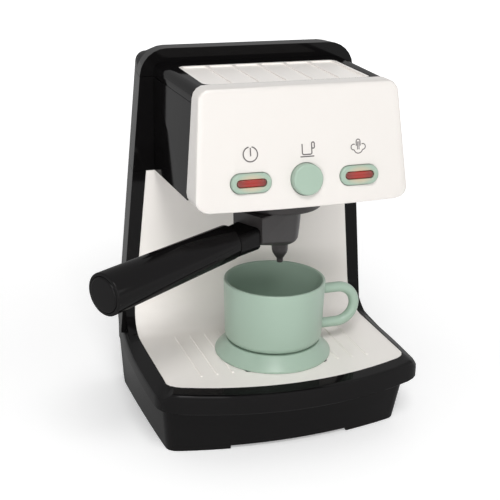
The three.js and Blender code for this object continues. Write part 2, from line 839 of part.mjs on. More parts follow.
function cupRack() {
  const rackY = (rackBackY + rackFrontY) / 2;
  const rackHalfY = (rackBackY - rackFrontY) / 2;
  const top = topDeckZ - rackSink;
  const plate = slab(rackHalf, rackHalfY, rackRadius, top - rackThick, top, 0, rackY);
  const pitch = (2 * (rackHalf - rackBorder) + channelRidge) / channelCount;
  const halfX = (pitch - channelRidge) / 2;
  const channels = [];
  for (let k = 0; k < channelCount; k++) {
    const x = pitch * (k - (channelCount - 1) / 2);
    const low = top - channelDepth;
    channels.push(slab(halfX, rackHalfY - rackBorder, rackBorder, low, top + overrun, x, rackY, 2));
  }
  return cut(plate, ...channels);
}

// The back's outline starts as the arch's, then gets lower and squarer
function rearRing(y, inset) {
  const share = THREE.MathUtils.clamp((y - rearSeamY) / (rearShoulderY - rearSeamY), 0, 1);
  const top = between(ridgeRearZ, rearTopZ, share);
  return columnRing(y, inset, top, inset, between(archRadius, rearCorner, share));
}

function rearShell() {
  const seamY = rearSeamY + gap;
  const middleY = (seamY + rearShoulderY) / 2;
  const soft = rearRadius * (1 - Math.SQRT1_2);
  const outer = loft(
    [
      rearRing(seamY, 0),
      rearRing(middleY, 0),
      rearRing(rearShoulderY, 0),
      rearRing(-rearRadius, 0),
      rearRing(-soft, soft),
      rearRing(0, rearRadius),
    ],
    seenFromFront,
  );
  const room = loft(
    [
      rearRing(seamY - overrun, wall),
      rearRing(seamY, wall),
      rearRing(middleY, wall),
      rearRing(rearShoulderY, wall),
      rearRing(-wall, wall),
    ],
    seenFromFront,
  );
  const door = doorSlab(gap, -wall - overrun, overrun);
  const screws = [...backScrewPlaces(backScrewLowX, backScrewLowZ)];
  screws.push(...backScrewPlaces(backScrewHighX, backScrewHighZ));
  const posts = screws.map(([x, z]) => dowel(bossRadius + rib, rearSeamY + gap, -rib, 12, x, z));
  const [box, boxRoom] = batteryBox();
  const holes = screws.map(([x, z]) =>
    join(
      dowel(screwRadius + gap, rearSeamY - overrun, overrun, 8, x, z),
      dowel(screwHeadRadius + gap, -backScrewSink, overrun, 12, x, z),
    ),
  );
  const slots = [];
  for (let k = 0; k < grilleCount; k++) {
    const rise = grillePitch * (k - (grilleCount - 1) / 2);
    const half = Math.sqrt(speakerRadius ** 2 - rise ** 2) - rib;
    const z = speakerZ + rise;
    slots.push(block(-half, half, -wall - overrun, overrun, z - grilleWidth / 2, z + grilleWidth / 2));
  }
  const shell = cut(join(cut(outer, room), ...posts), door);
  return cut(join(shell, box), boxRoom, ...holes, ...slots);
}

// The battery door's rounded rectangle, grown all round, between two depths
function doorSlab(grow, y0, y1) {
  const shape = roundedOutline(doorLength / 2 + grow, doorHeight / 2 + grow, doorRadius + grow);
  const options = { depth: y1 - y0, bevelEnabled: false, curveSegments: 4 };
  const geometry = new THREE.ExtrudeGeometry(shape, options);
  return solidOf(geometry.rotateX(Math.PI / 2).translate(0, y1, batteryZ));
}

function basePlate() {
  const high = plateFloorZ + plateFloorThick;
  const inset = wall + gap;
  const plate = loft([skirtRing(plateFloorZ, inset), skirtRing(high, inset)], seenFromAbove);
  const holes = baseScrewPlaces().map(([x, y]) =>
    pillar(screwRadius + gap, 0, high + overrun, 10, x, y),
  );
  return cut(plate, ...holes);
}

function frontPlate() {
  const shell = cut(plateSolid(0, 0), plateSolid(wall, overrun));
  const ovalHole = (x) => {
    const half = ovalHeight / 2 + buttonClear;
    return slab(ovalLength / 2 + buttonClear, half, half, -boardDepth, boardDepth, x, 0, 4);
  };
  const roundHole = pillar(roundRadius + buttonClear, -boardDepth, boardDepth, 32);
  const postTop = plateRise(boardPostX) - rib;
  const posts = [];
  const pilots = [];
  for (const [x, y] of boardPostPlaces()) {
    posts.push(pillar(bossRadius - rib / 2, -boardDepth + gap, postTop, 12, x, y));
    const tip = screwLength - boardDepth - boardThick + gap;
    pilots.push(pillar(screwRadius + gap, -boardDepth - overrun, tip, 10, x, y));
  }
  const ringRoom = pillar(ringRadius + gap, plateLowZ - overrun, plateLowZ + wall * 2, 40, 0, groupY);
  const body = join(shell, ...posts.map(onPlate));
  return cut(
    body,
    ...[ovalHole(-ovalX), ovalHole(ovalX), roundHole].map(onPlate),
    ...pilots.map(onPlate),
    ringRoom,
  );
}

const boardPostPlaces = () => [
  [-boardPostX, boardPostRise],
  [boardPostX, boardPostRise],
];

function trayPanel() {
  const liner = linerSolid(lowerSeamZ - gap, panelSink, panelThick, 0);
  const top = deckZ - panelSink;
  const ribs = [];
  const low = top - panelThick / 2;
  const half = trayRibWidth / 2;
  for (let k = 0; k < trayRibCount; k++)
    for (const side of [-1, 1]) {
      const x = side * (trayRibFirst + k * trayRibPitch);
      const bar = block(x - half, x + half, trayRibFrontY, trayRibBackY, low, top + trayRibRise);
      ribs.push(bar);
    }
  const clear = pillar(standFootRadius + gap * 2, top, top + overrun, 36, 0, cupY);
  const holes = [...clipPlaces(0), ...clipPlaces(clipSlotExtra)];
  const slots = holes.map(([x, y]) =>
    pillar(clipRadius + gap, deckZ - overrun * 2, deckZ + overrun, 12, x, y),
  );
  return cut(join(liner, ...ribs), clear, ...slots);
}

// The stand's four clips, or the outer ends of the tray's slots for them
function clipPlaces(extra) {
  const reach = standFootRadius - clipRadius - standWall + extra;
  return [-3, -1, 1, 3].map((eighths) => {
    const angle = (eighths * Math.PI) / 4;
    return [reach * Math.cos(angle), cupY + reach * Math.sin(angle)];
  });
}

// Brew group
function groupRing() {
  const roomZ = ringLowZ + ledgeHeight;
  const roofZ = roomZ + lugRoomHeight;
  const flangeZ = headLowZ(groupY - ringFlangeRadius) + wall + gap;
  const profile = [
    [ledgeRadius, ringLowZ],
    ...roundedCorner(ringRadius, ringLowZ, ringEdge, 3),
    [ringRadius, flangeZ],
    [ringFlangeRadius, flangeZ],
    [ringFlangeRadius, flangeZ + ringFlangeThick],
    [ringHoleRadius, flangeZ + ringFlangeThick],
    [ringHoleRadius, roofZ],
    [lugRoomRadius, roofZ],
    [lugRoomRadius, roomZ],
    [ledgeRadius, roomZ],
    [ledgeRadius, ringLowZ],
  ];
  const ring = turned(profile, 40, 0, groupY);
  const entries = lugSectors(slotSpan, lugRoomRadius, ringLowZ - overrun, roomZ + gap, handleAngle);
  return cut(ring, ...entries);
}

// Wedges of a disc under the group, one for each lug
function lugSectors(span, radius, z0, z1, turn) {
  const sectors = [];
  for (let k = 0; k < lugCount; k++) {
    const middle = turn + (Math.PI * 2 * k) / lugCount + Math.PI / lugCount;
    const shape = new THREE.Shape();
    const start = middle - span / 2;
    shape.moveTo(0, 0);
    shape.lineTo(radius * Math.cos(start), radius * Math.sin(start));
    shape.absarc(0, 0, radius, start, middle + span / 2);
    const options = { depth: z1 - z0, bevelEnabled: false, curveSegments: 3 };
    sectors.push(solidOf(new THREE.ExtrudeGeometry(shape, options).translate(0, groupY, z0)));
  }
  return sectors;
}

function showerDisc() {
  const roofZ = ringLowZ + ledgeHeight + lugRoomHeight;
  const low = roofZ - rib;
  const profile = [
    [0, low],
    [ringHoleRadius - rib, low],
    [ringHoleRadius - gap, low + rib],
    [ringHoleRadius - gap, roofZ + wall],
    [0, roofZ + wall],
  ];
  const disc = turned(profile, 28);
  const holes = [];
  for (let k = 0; k < 6; k++) {
    const angle = (Math.PI * k) / 3;
    const reach = ringHoleRadius / 2;
    holes.push(
      pillar(rib / 2, low - overrun, roofZ + overrun, 8, reach * Math.cos(angle), reach * Math.sin(angle)),
    );
  }
  return cut(disc, ...holes);
}

// Portafilter, in its own frame with the handle along +X
function bowl() {
  const lugLowZ = ringLowZ + ledgeHeight + gap;
  const topZ = lugLowZ + lugThick;
  const rimZ = ringLowZ - gap;
  const foot = [bowlFootRadius, bowlLowZ + bowlEdge];
  const outside = [
    [0, bowlLowZ],
    ...roundedCorner(bowlFootRadius, bowlLowZ, bowlEdge, 4),
    ...alongShares(foot, [bowlRadius, rimZ], bowlSideShares),
    [bowlRadius, rimZ + rib],
    [0, rimZ + rib],
  ];
  const armZ = (armLowZ + rimZ + rib) / 2;
  const armUp = rimZ + rib - armZ;
  const arm = neckSolid(armEnd - wall, armEnd, armZ, [armHalf, armUp, armUp, rib, neckTopRadius]);
  const level = block(-bowlRadius * 2, armEnd * 2, -bowlRadius * 2, bowlRadius * 2, 0, rimZ);
  const body = meet(hung(wasm.Manifold.hull([turned(outside, 32), arm])), level);
  const collar = pillar(ledgeRadius - gap, rimZ - rib, topZ, 32);
  const lugs = lugSectors(lugSpan, lugRoomRadius - gap * 2, lugLowZ, topZ, 0).map((sector) =>
    solidOf(geometryOf(sector).translate(0, -groupY, 0)),
  );
  const room = pillar(bowlRoomRadius, bowlLowZ + bowlFloor, topZ + overrun, 28);
  const drain = pillar(spoutRadius - rib, bowlLowZ - overrun, bowlLowZ + bowlFloor + gap, 16);
  const screwHole = handleBore(bowlRadius + gap, armEnd + overrun);
  return cut(join(body, collar, ...lugs), ...[room, drain, screwHole].map(hung));
}

const hung = (solid) =>
  solid.translate([0, 0, -hangZ]).rotate([0, hangDegrees, 0]).translate([0, 0, hangZ]);

// Corners between two others, as shares of the way in radius and in height
const alongShares = ([radius, z], [endRadius, endZ], shares) =>
  shares.map(([out, up]) => [between(radius, endRadius, out), between(z, endZ, up)]);

// The quarter round at a turned piece's lower outer corner, from its foot to its side
function roundedCorner(radius, z, edge, steps) {
  const corner = [];
  for (let k = 0; k <= steps; k++) {
    const angle = (Math.PI / 2) * (k / steps);
    corner.push([radius - edge * (1 - Math.sin(angle)), z + edge * (1 - Math.cos(angle))]);
  }
  return corner;
}

// Turned round a line along +X at height z, from [radius, distance along it]
function turnedAlongX(profile, sides, z) {
  const points = profile.map(([radius, x]) => new THREE.Vector2(radius, x));
  const geometry = new THREE.LatheGeometry(points, sides).rotateZ(-Math.PI / 2);
  return solidOf(geometry.translate(0, 0, z));
}

function handleBore(x0, x1) {
  const radius = handleScrewRadius + gap;
  return turnedAlongX([[0, x0], [radius, x0], [radius, x1], [0, x1]], 10, handleZ);
}

// A bar along X, with corners of one radius above and another below. Each end is given as
// half its width, how far it reaches up and down from z, and the two radii
function neckSolid(x0, x1, z, start, end = start) {
  return loft([neckRing(x0, z, ...start), neckRing(x1, z, ...end)], seenFromSide);
}

function neckRing(x, z, half, up, down, topRadius, lowRadius) {
  const steps = 4;
  const corners = [
    [1, -1, lowRadius, z - down],
    [1, 1, topRadius, z + up],
    [-1, 1, topRadius, z + up],
    [-1, -1, lowRadius, z - down],
  ];
  return corners.flatMap(([sideY, sideZ, radius, edgeZ], turn) => {
    const middleY = sideY * (half - radius);
    const middleZ = edgeZ - sideZ * radius;
    const arc = [];
    for (let k = 0; k <= steps; k++) {
      const angle = (Math.PI / 2) * (turn - 1 + k / steps);
      const y = middleY + radius * Math.cos(angle);
      arc.push(new THREE.Vector3(x, y, middleZ + radius * Math.sin(angle)));
    }
    return arc;
  });
}

function spout() {
  const spigot = spoutRadius - rib - gap;
  const nozzle = [nozzleRadius, spoutLowZ + nozzleHeight];
  const top = [spoutRadius, bowlLowZ - gap];
  const profile = [
    [spoutBore, spoutLowZ],
    [nozzleRadius - nozzleEdge, spoutLowZ],
    [nozzleRadius, spoutLowZ + nozzleEdge],
    nozzle,
    ...alongShares(nozzle, top, spoutSideShares),
    top,
    [spigot, bowlLowZ - gap],
    [spigot, bowlLowZ + rib],
    [spoutBore, bowlLowZ + rib],
    [spoutBore, spoutLowZ],
  ];
  return hung(turned(profile, 24));
}

function handleNeck() {
  const end = gripStart - gap;
  const bar = neckSolid(
    armEnd + gap,
    end,
    handleZ,
    [neckHalf, neckUp, neckDown, neckTopRadius, neckLowRadius],
    [neckHalf, neckUp, neckDown, neckTopRadius + neckRounding, neckLowRadius + neckRounding],
  );
  const spigotRadius = gripStartRadius - wall;
  const spigotProfile = [
    [0, end - wall],
    [spigotRoot, end - wall],
    [spigotRoot, end],
    [spigotRadius, end],
    [spigotRadius, spigotEnd],
    [0, spigotEnd],
  ];
  const spigot = turnedAlongX(spigotProfile, 24, handleZ);
  return hung(cut(join(bar, spigot), handleBore(0, gripEnd)));
}

function handleGrip() {
  const socket = gripStartRadius - wall + gap;
  const pocket = capRadius + gap;
  const bore = handleScrewRadius + gap;
  const webX = spigotEnd + gap;
  const bead = gripLip * (1 - Math.SQRT1_2);
  const profile = [
    [socket, gripStart],
    [gripStartRadius - gripLip, gripStart],
    [gripStartRadius - bead, gripStart + bead],
    [gripStartRadius, gripStart + gripLip],
    [gripEndRadius, gripEnd - gripLip],
    [gripEndRadius - bead, gripEnd - bead],
    [gripEndRadius - gripLip, gripEnd],
    [pocket, gripEnd],
    [pocket, gripEnd - capDepth],
    [gripBore, gripEnd - capDepth],
    [gripBore, webX + wall],
    [bore, webX + wall],
    [bore, webX],
    [socket, webX],
    [socket, gripStart],
  ];
  return hung(turnedAlongX(profile, 32, handleZ));
}

function handleEndCap() {
  const start = gripEnd - capDepth + gap;
  const end = gripEnd + capRise;
  const steps = 3;
  const profile = [
    [0, start],
    [capRadius, start],
  ];
  for (let k = 0; k <= steps; k++) {
    const angle = (Math.PI / 2) * (k / steps);
    profile.push([capRadius - capEdge * (1 - Math.cos(angle)), end - capEdge * (1 - Math.sin(angle))]);
  }
  profile.push([0, end]);
  return hung(turnedAlongX(profile, 32, handleZ));
}

function handleScrew() {
  const headX = spigotEnd + gap * 2 + wall;
  const profile = [
    [0, bowlRadius + gap * 2],
    [handleScrewRadius, bowlRadius + gap * 2],
    [handleScrewRadius, headX],
    [handleScrewHead, headX],
    [handleScrewHead, headX + screwHeadHeight],
    [0, headX + screwHeadHeight],
  ];
  return hung(turnedAlongX(profile, 12, handleZ));
}

// Cup and stand, round their own upright axis
function cup() {
  const outside = [
    [0, cupLowZ],
    [cupFootRadius - cupHeel, cupLowZ],
    [cupFootRadius - cupHeel * (1 - Math.sin(Math.PI / 6)), cupLowZ + cupHeel * (1 - Math.cos(Math.PI / 6))],
    [cupFootRadius - cupHeel * (1 - Math.sin(Math.PI / 3)), cupLowZ + cupHeel * (1 - Math.cos(Math.PI / 3))],
    [cupFootRadius, cupLowZ + cupHeel],
    [cupRimRadius, cupRimZ - cupWall / 2],
    [cupRimRadius - cupWall / 4, cupRimZ],
  ];
  const inside = [
    [cupRimRadius - cupWall * 0.75, cupRimZ],
    [cupRimRadius - cupWall, cupRimZ - cupWall / 2],
    [cupFootRadius - cupWall, cupLowZ + cupHeel],
    [cupFootRadius - cupWall - cupHeel * (1 - Math.SQRT1_2), cupLowZ + cupWall + cupHeel * (1 - Math.SQRT1_2)],
    [cupFootRadius - cupHeel, cupLowZ + cupWall],
    [0, cupLowZ + cupWall],
  ];
  const body = turned([...outside, ...inside], 42);
  return join(body, cupHandle());
}

function cupHandle() {
  const root = cupFootRadius - cupWall / 2;
  const bend = 7;
  const points = [[root, 0, cupHandleZ + cupHandleRadius]];
  for (let k = 0; k <= bend; k++) {
    const angle = Math.PI / 2 - (Math.PI * k) / bend;
    const x = cupHandleX - gap + cupHandleRadius * Math.cos(angle);
    points.push([x, 0, cupHandleZ + cupHandleRadius * Math.sin(angle)]);
  }
  points.push([root, 0, cupHandleZ - cupHandleRadius]);
  return alongPath(points, cupHandleTube, 6, 26);
}

function cupStand() {
  const low = deckZ - panelSink + gap;
  const high = cupLowZ - gap;
  const profile = [
    [cupFootRadius - cupHeel - wall, high - wall],
    [standTopRadius - wall, high - wall - rib],
    [standFootRadius - standWall * 2, low],
    [standFootRadius, low],
    [standFootRadius, low + standLip],
    [standTopRadius, high - gap],
    [standTopRadius - gap, high],
    [cupFootRadius - cupHeel - wall, high],
    [cupFootRadius - cupHeel - wall, high - wall],
  ];
  const body = turned(profile, 42);
  const clips = clipPlaces(0).map(([x, y]) =>
    pillar(clipRadius, low - clipDrop, low + standWall, 12, x, y - cupY),
  );
  return join(body, ...clips);
}

// Buttons, in the plate's frame
function buttonFlangeTop(x, reach) {
  return plateRise(Math.abs(x) + reach) - wall - gap * 2;
}

function ovalButton(x, stemSide) {
  const face = plateRise(x);
  const half = ovalHeight / 2;
  const flangeTop = buttonFlangeTop(x, ovalLength / 2 + flangeLip);
  const body = pillow(ovalLength / 2, half, half, flangeTop - flangeThick, face + ovalRise, buttonEdge, 3, 4);
  const lip = half + flangeLip;
  const flange = slab(ovalLength / 2 + flangeLip, lip, lip, flangeTop - flangeThick, flangeTop, 0, 0, 4);
  const stemX = stemSide * (ovalLength / 2 - stemRadius);
  const stem = pillar(stemRadius, stemEnd(), flangeTop, 12, stemX);
  const slotHalf = lensHeight / 2;
  const slot = slab(lensLength / 2, slotHalf, slotHalf, flangeTop - overrun, face + overrun, 0, 0, 3);
  return cut(join(body, flange, stem), slot);
}

function roundButton() {
  const face = plateRise(0);
  const flangeTop = buttonFlangeTop(0, roundRadius + flangeLip);
  const profile = [
    [0, stemEnd()],
    [stemRadius, stemEnd()],
    [stemRadius, flangeTop - flangeThick],
    [roundRadius + flangeLip, flangeTop - flangeThick],
    [roundRadius + flangeLip, flangeTop],
    [roundRadius, flangeTop],
    [roundRadius, face + roundRise - buttonEdge * 1.6],
    [roundRadius - buttonEdge * 0.6, face + roundRise - buttonEdge * 0.6],
    [roundRadius - buttonEdge * 1.6, face + roundRise],
    [0, face + roundRise],
  ];
  return turned(profile, 32);
}

const stemEnd = () => -boardDepth + gap + switchHeight + plungerHeight + buttonTravel + gap;

function lens(x) {
  const face = plateRise(x);
  const half = lensHeight / 2 - gap;
  const low = buttonFlangeTop(x, ovalLength / 2 + flangeLip) - flangeThick;
  return pillow(lensLength / 2 - gap, half, half, low, face + ovalRise - lensSink, gap * 2, 2, 3);
}

// Board and what is on it, in the plate's frame
function circuitBoard() {
  const low = -boardDepth - boardThick;
  const halfHeight = (boardHigh - boardLow) / 2;
  const middle = (boardHigh + boardLow) / 2;
  const board = slab(boardLength / 2, halfHeight, rib, low, -boardDepth, 0, middle, 1);
  const holes = boardPostPlaces().map(([x, y]) => pillar(screwRadius + gap, low - overrun, 0, 10, x, y));
  return cut(board, ...holes);
}

function tactSwitch() {
  const low = -boardDepth + gap;
  const high = low + switchHeight;
  const half = switchSize / 2;
  const body = block(-half, half, -half, half, low, high);
  return join(body, pillar(plungerRadius, high - gap, high + plungerHeight, 12));
}

function led() {
  const low = -boardDepth + gap;
  const high = low + ledHeight;
  const profile = [
    [0, low],
    [ledRadius + gap, low],
    [ledRadius + gap, low + rib / 2],
    [ledRadius, low + rib / 2],
    [ledRadius, high - ledRadius],
    [ledRadius * Math.SQRT1_2, high - ledRadius * (1 - Math.SQRT1_2)],
    [0, high],
  ];
  return turned(profile, 12);
}

// Battery box moulded on the back wall, with the ledge the door rests on, and its hollows
function batteryBox() {
  const front = -doorSink - doorThick - gap;
  const back = front - boxDepth;
  const halfX = boxLength / 2;
  const halfZ = boxHeight / 2;
  const z0 = batteryZ - halfZ;
  const z1 = batteryZ + halfZ;
  const body = block(-halfX - rib, halfX + rib, back - rib, front, z0 - rib, z1 + rib);
  const ledge = doorSlab(wall, front - rib, -wall / 2);
  const ledgeRoom = doorSlab(gap, front, overrun);
  const screwZ = doorScrewZ();
  const bossEnd = front - wall - gap;
  const boss = dowel(doorBoss + rib, bossEnd - screwLength, front - gap, 16, 0, screwZ);
  const bossRoom = dowel(doorBoss + gap, bossEnd, overrun, 16, 0, screwZ);
  const pilot = dowel(screwRadius + gap, bossEnd - screwLength + rib, overrun, 10, 0, screwZ);
  const holes = [-1, 1].map((side) => {
    const x = side * batteryWireX;
    const middleY = front - boxDepth / 2;
    return pillar(wireRadius + gap, z1 - rib, z1 + rib + overrun, 10, x, middleY);
  });
  const room = block(-halfX, halfX, back, overrun, z0, z1);
  return [join(body, ledge, boss), join(room, ledgeRoom, bossRoom, pilot, ...holes)];
}

const doorScrewZ = () => batteryZ + boxHeight / 2 + rib + (doorHeight - boxHeight) / 4;

function batteryDoor() {
  const inner = -doorSink - doorThick;
  const plate = doorSlab(0, inner, -doorSink);
  const screwZ = doorScrewZ();
  const boss = dowel(doorBoss, inner - wall, inner + gap, 16, 0, screwZ);
  const hole = dowel(screwRadius + gap, inner - overrun, overrun, 12, 0, screwZ);
  const headRoom = dowel(screwHeadRadius + gap, doorHeadFloor(), overrun, 14, 0, screwZ);
  const grips = [];
  for (let k = 0; k < 4; k++) {
    const z = batteryZ - doorHeight / 2 + rib * 2.5 + k * rib * 1.5;
    const y = -doorSink - doorThick / 3;
    grips.push(block(-doorLength / 5, doorLength / 5, y, overrun, z, z + rib * 0.7));
  }
  return cut(join(plate, boss), hole, headRoom, ...grips);
}

const doorHeadFloor = () => -doorSink - doorHeadSink - screwHeadHeight - gap;

// One cell lying along X, plus end towards +X
function battery() {
  const half = batteryLength / 2;
  const profile = [
    [0, -half],
    [batteryRadius - gap, -half],
    [batteryRadius, -half + gap],
    [batteryRadius, half - capPlus - gap],
    [batteryRadius - gap, half - capPlus],
    [capRadiusPlus, half - capPlus],
    [capRadiusPlus, half],
    [0, half],
  ];
  return turnedAlongX(profile, 16, 0);
}

function contactStrip() {
  const halfZ = boxHeight / 2 - gap * 2;
  return block(0, contactThick, -contactWidth / 2, contactWidth / 2, -halfZ, halfZ);
}

// Speaker: a rim, a cone and a magnet on one axis, along Z before it is laid down
function speaker() {
  const profile = [
    [0, rib],
    [magnetRadius / 2, rib],
    [speakerRadius - wall, rib / 2],
    [speakerRadius - wall, 0],
    [speakerRadius, 0],
    [speakerRadius, rib],
    [magnetRadius + wall, speakerThick],
    [magnetRadius, speakerThick],
    [magnetRadius, speakerThick + magnetThick],
    [0, speakerThick + magnetThick],
  ];
  return turned(profile, 24);
}

// A cross-head screw pointing along +Z, head face at z = 0
function screw() {
  const profile = [
    [0, 0],
    [screwHeadRadius - gap, 0],
    [screwHeadRadius, gap],
    [screwHeadRadius, screwHeadHeight],
    [screwRadius, screwHeadHeight],
    [screwRadius, screwHeadHeight + screwLength - screwRadius],
    [0, screwHeadHeight + screwLength],
  ];
  const long = screwHeadRadius * 0.62;
  const deep = screwHeadHeight / 2;
  const thin = crossWidth / 2;
  const cross = join(
    block(-long, long, -thin, thin, -overrun, deep),
    block(-thin, thin, -long, long, -overrun, deep),
  );
  return cut(turned(profile, 10), cross);
}

// Wires, in the machine's frame
function batteryWire(side) {
  const x = side * batteryWireX;
  const startZ = batteryZ + boxHeight / 2 - gap;
  const boxTop = batteryZ + boxHeight / 2;
  const inner = side * wireInnerX;
  const endZ = buttonZ + wireEndRise;
  return alongPath(
    [
      [x, cellY, startZ],
      [x, cellY, boxTop + rib * 2],
      [x - side * rib, rearSeamY, boxTop + doorHeight / 2],
      [inner, wireRiseY, lowerSeamZ + rib],
      [inner, wireBendY, upperSeamZ - boxHeight],
      [inner, groupY, upperSeamZ - boxHeight - rib],
      [inner, boardBackY(endZ) + overrun, endZ + gap],
      [inner, boardBackY(endZ) + wireRadius + gap, endZ],
    ],
    wireRadius,
    3,
    22,
  );
}

function speakerWire(side) {
  const z = speakerZ + side * wall;
  const start = -wall - gap * 2 - speakerThick - magnetThick - wireRadius;
  const inner = side * overrun;
  return alongPath(
    [
      [inner, start, z],
      [inner, wireRiseY, z + rib],
      [inner * 1.5, wireBendY, upperSeamZ - boxHeight],
      [inner * 1.5, groupY, upperSeamZ - boxHeight],
      [inner * 1.5, boardBackY(z) + overrun, z + gap],
      [inner * 1.5, boardBackY(z) + wireRadius + gap, z],
    ],
    wireRadius,
    3,
    14,
  );
}

// The board's back face at a height
function boardBackY(z) {
  const back = new THREE.Vector3(0, 0, -boardDepth - boardThick).applyMatrix4(plateFrame);
  return back.y + (z - back.z) * Math.tan(plateTilt);
}

// Assembly
const machine = new THREE.Group();

function place(parent, name, solid, material, at = [0, 0, 0]) {
  const mesh = new THREE.Mesh(geometryOf(solid), material);
  mesh.name = name;
  mesh.position.set(...at);
  parent.add(mesh);
  return mesh;
}

place(machine, "lower_body", lowerBody(), blackGloss);
place(machine, "base_plate", basePlate(), blackGloss);
place(machine, "head_housing", headHousing(), blackGloss);
place(machine, "top_cover", topCover(), blackGloss);
place(machine, "rear_shell", rearShell(), blackGloss);
place(machine, "front_plate", frontPlate(), whiteGloss);
place(machine, "tray_panel", trayPanel(), whiteGloss);
place(machine, "cup_rack", cupRack(), whiteGloss);

const panel = new THREE.Group();
panel.position.set(0, plateOriginY, buttonZ);
panel.rotation.x = plateTurn;
machine.add(panel);
const stemX = ovalLength / 2 - stemRadius;
place(panel, "button_power", ovalButton(-ovalX, 1), mint, [-ovalX, 0, 0]);
place(panel, "button_coffee", roundButton(), mint);
place(panel, "button_steam", ovalButton(ovalX, -1), mint, [ovalX, 0, 0]);
place(panel, "lens_power", lens(-ovalX), redLens, [-ovalX, 0, 0]);
place(panel, "lens_steam", lens(ovalX), redLens, [ovalX, 0, 0]);
place(panel, "circuit_board", circuitBoard(), boardGreen);
place(panel, "switch_power", tactSwitch(), switchBlack, [-ovalX + stemX, 0, 0]);
place(panel, "switch_coffee", tactSwitch(), switchBlack);
place(panel, "switch_steam", tactSwitch(), switchBlack, [ovalX - stemX, 0, 0]);
place(panel, "led_power", led(), redLens, [-ovalX, 0, 0]);
place(panel, "led_steam", led(), redLens, [ovalX, 0, 0]);
boardPostPlaces().forEach(([x, y], k) => {
  const head = -boardDepth - boardThick - gap - screwHeadHeight;
  place(panel, `board_screw_${k + 1}`, screw(), steel, [x, y, head]);
});

place(machine, "group_ring", groupRing(), greySatin);
place(machine, "shower_disc", showerDisc(), greySatin, [0, groupY, 0]);
const portafilter = new THREE.Group();
portafilter.position.set(0, groupY, 0);
portafilter.rotation.z = handleAngle;
machine.add(portafilter);
place(portafilter, "portafilter_bowl", bowl(), greySatin);
place(portafilter, "portafilter_spout", spout(), greySatin);
place(portafilter, "handle_neck", handleNeck(), blackGloss);
place(portafilter, "handle_grip", handleGrip(), blackGloss);
place(portafilter, "handle_end_cap", handleEndCap(), blackGloss);
place(portafilter, "handle_screw", handleScrew(), steel);

place(machine, "cup_stand", cupStand(), mint, [0, cupY, 0]);
place(machine, "cup", cup(), mint, [0, cupY, 0]);

place(machine, "battery_door", batteryDoor(), blackGloss);
const upper = place(machine, "battery_upper", battery(), cellBlue, [0, cellY, batteryZ + batteryPitch / 2]);
upper.rotation.z = Math.PI;
place(machine, "battery_lower", battery(), cellBlue, [0, cellY, batteryZ - batteryPitch / 2]);
const contactX = boxLength / 2 - gap - contactThick;
place(machine, "battery_contact_right", contactStrip(), steel, [contactX, cellY, batteryZ]);
place(machine, "battery_contact_left", contactStrip(), steel, [-boxLength / 2 + gap, cellY, batteryZ]);

const speakerMesh = place(machine, "speaker", speaker(), switchBlack, [0, -wall - gap, speakerZ]);
speakerMesh.rotation.x = Math.PI / 2;

// Screws through the back point towards -Y, those through the bottom plate point up
const backScrews = [
  ...backScrewPlaces(backScrewLowX, backScrewLowZ),
  ...backScrewPlaces(backScrewHighX, backScrewHighZ),
];
backScrews.forEach(([x, z], k) => {
  const head = -backScrewSink + gap + screwHeadHeight;
  place(machine, `back_screw_${k + 1}`, screw(), steel, [x, head, z]).rotation.x = Math.PI / 2;
});
const doorScrewHead = -doorSink - doorHeadSink;
place(machine, "battery_door_screw", screw(), steel, [0, doorScrewHead, doorScrewZ()]).rotation.x =
  Math.PI / 2;
baseScrewPlaces().forEach(([x, y], k) => {
  const head = plateFloorZ - gap - screwHeadHeight;
  place(machine, `base_screw_${k + 1}`, screw(), steel, [x, y, head]);
});
place(machine, "battery_wire_red", batteryWire(1), wireRed);
place(machine, "battery_wire_black", batteryWire(-1), wireBlack);
place(machine, "speaker_wire_red", speakerWire(1), wireRed);
place(machine, "speaker_wire_black", speakerWire(-1), wireBlack);

// The origin is on the table under the middle of the whole thing
const coffeeMaker = new THREE.Group();
coffeeMaker.add(machine);
coffeeMaker.updateMatrixWorld(true);
const extent = new THREE.Box3().setFromObject(coffeeMaker, true);
const middle = extent.getCenter(new THREE.Vector3());
machine.position.set(-middle.x, -middle.y, -extent.min.z);

export default coffeeMaker;
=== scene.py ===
"""A toy coffee maker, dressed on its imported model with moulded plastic, prints and screws."""

import json
import math

import bmesh
import bpy
from bpy.props import FloatProperty, FloatVectorProperty, IntProperty, PointerProperty
from bpy.types import Operator, Panel, PropertyGroup
from mathutils import Matrix, Vector


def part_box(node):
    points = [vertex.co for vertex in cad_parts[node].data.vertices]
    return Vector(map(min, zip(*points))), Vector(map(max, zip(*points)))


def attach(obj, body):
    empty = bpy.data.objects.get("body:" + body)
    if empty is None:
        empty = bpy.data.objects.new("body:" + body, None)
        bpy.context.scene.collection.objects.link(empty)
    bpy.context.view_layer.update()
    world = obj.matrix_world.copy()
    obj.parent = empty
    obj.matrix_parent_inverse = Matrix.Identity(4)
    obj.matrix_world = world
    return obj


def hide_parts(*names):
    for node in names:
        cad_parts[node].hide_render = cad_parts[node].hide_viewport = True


bl_info = {
    "name": "Toy coffee maker",
    "version": (1, 0, 0),
    "blender": (4, 5, 0),
    "location": "3D View > Sidebar > Coffee maker",
    "description": "Builds the visible pieces of a toy coffee maker on its packed model",
    "category": "Object",
}

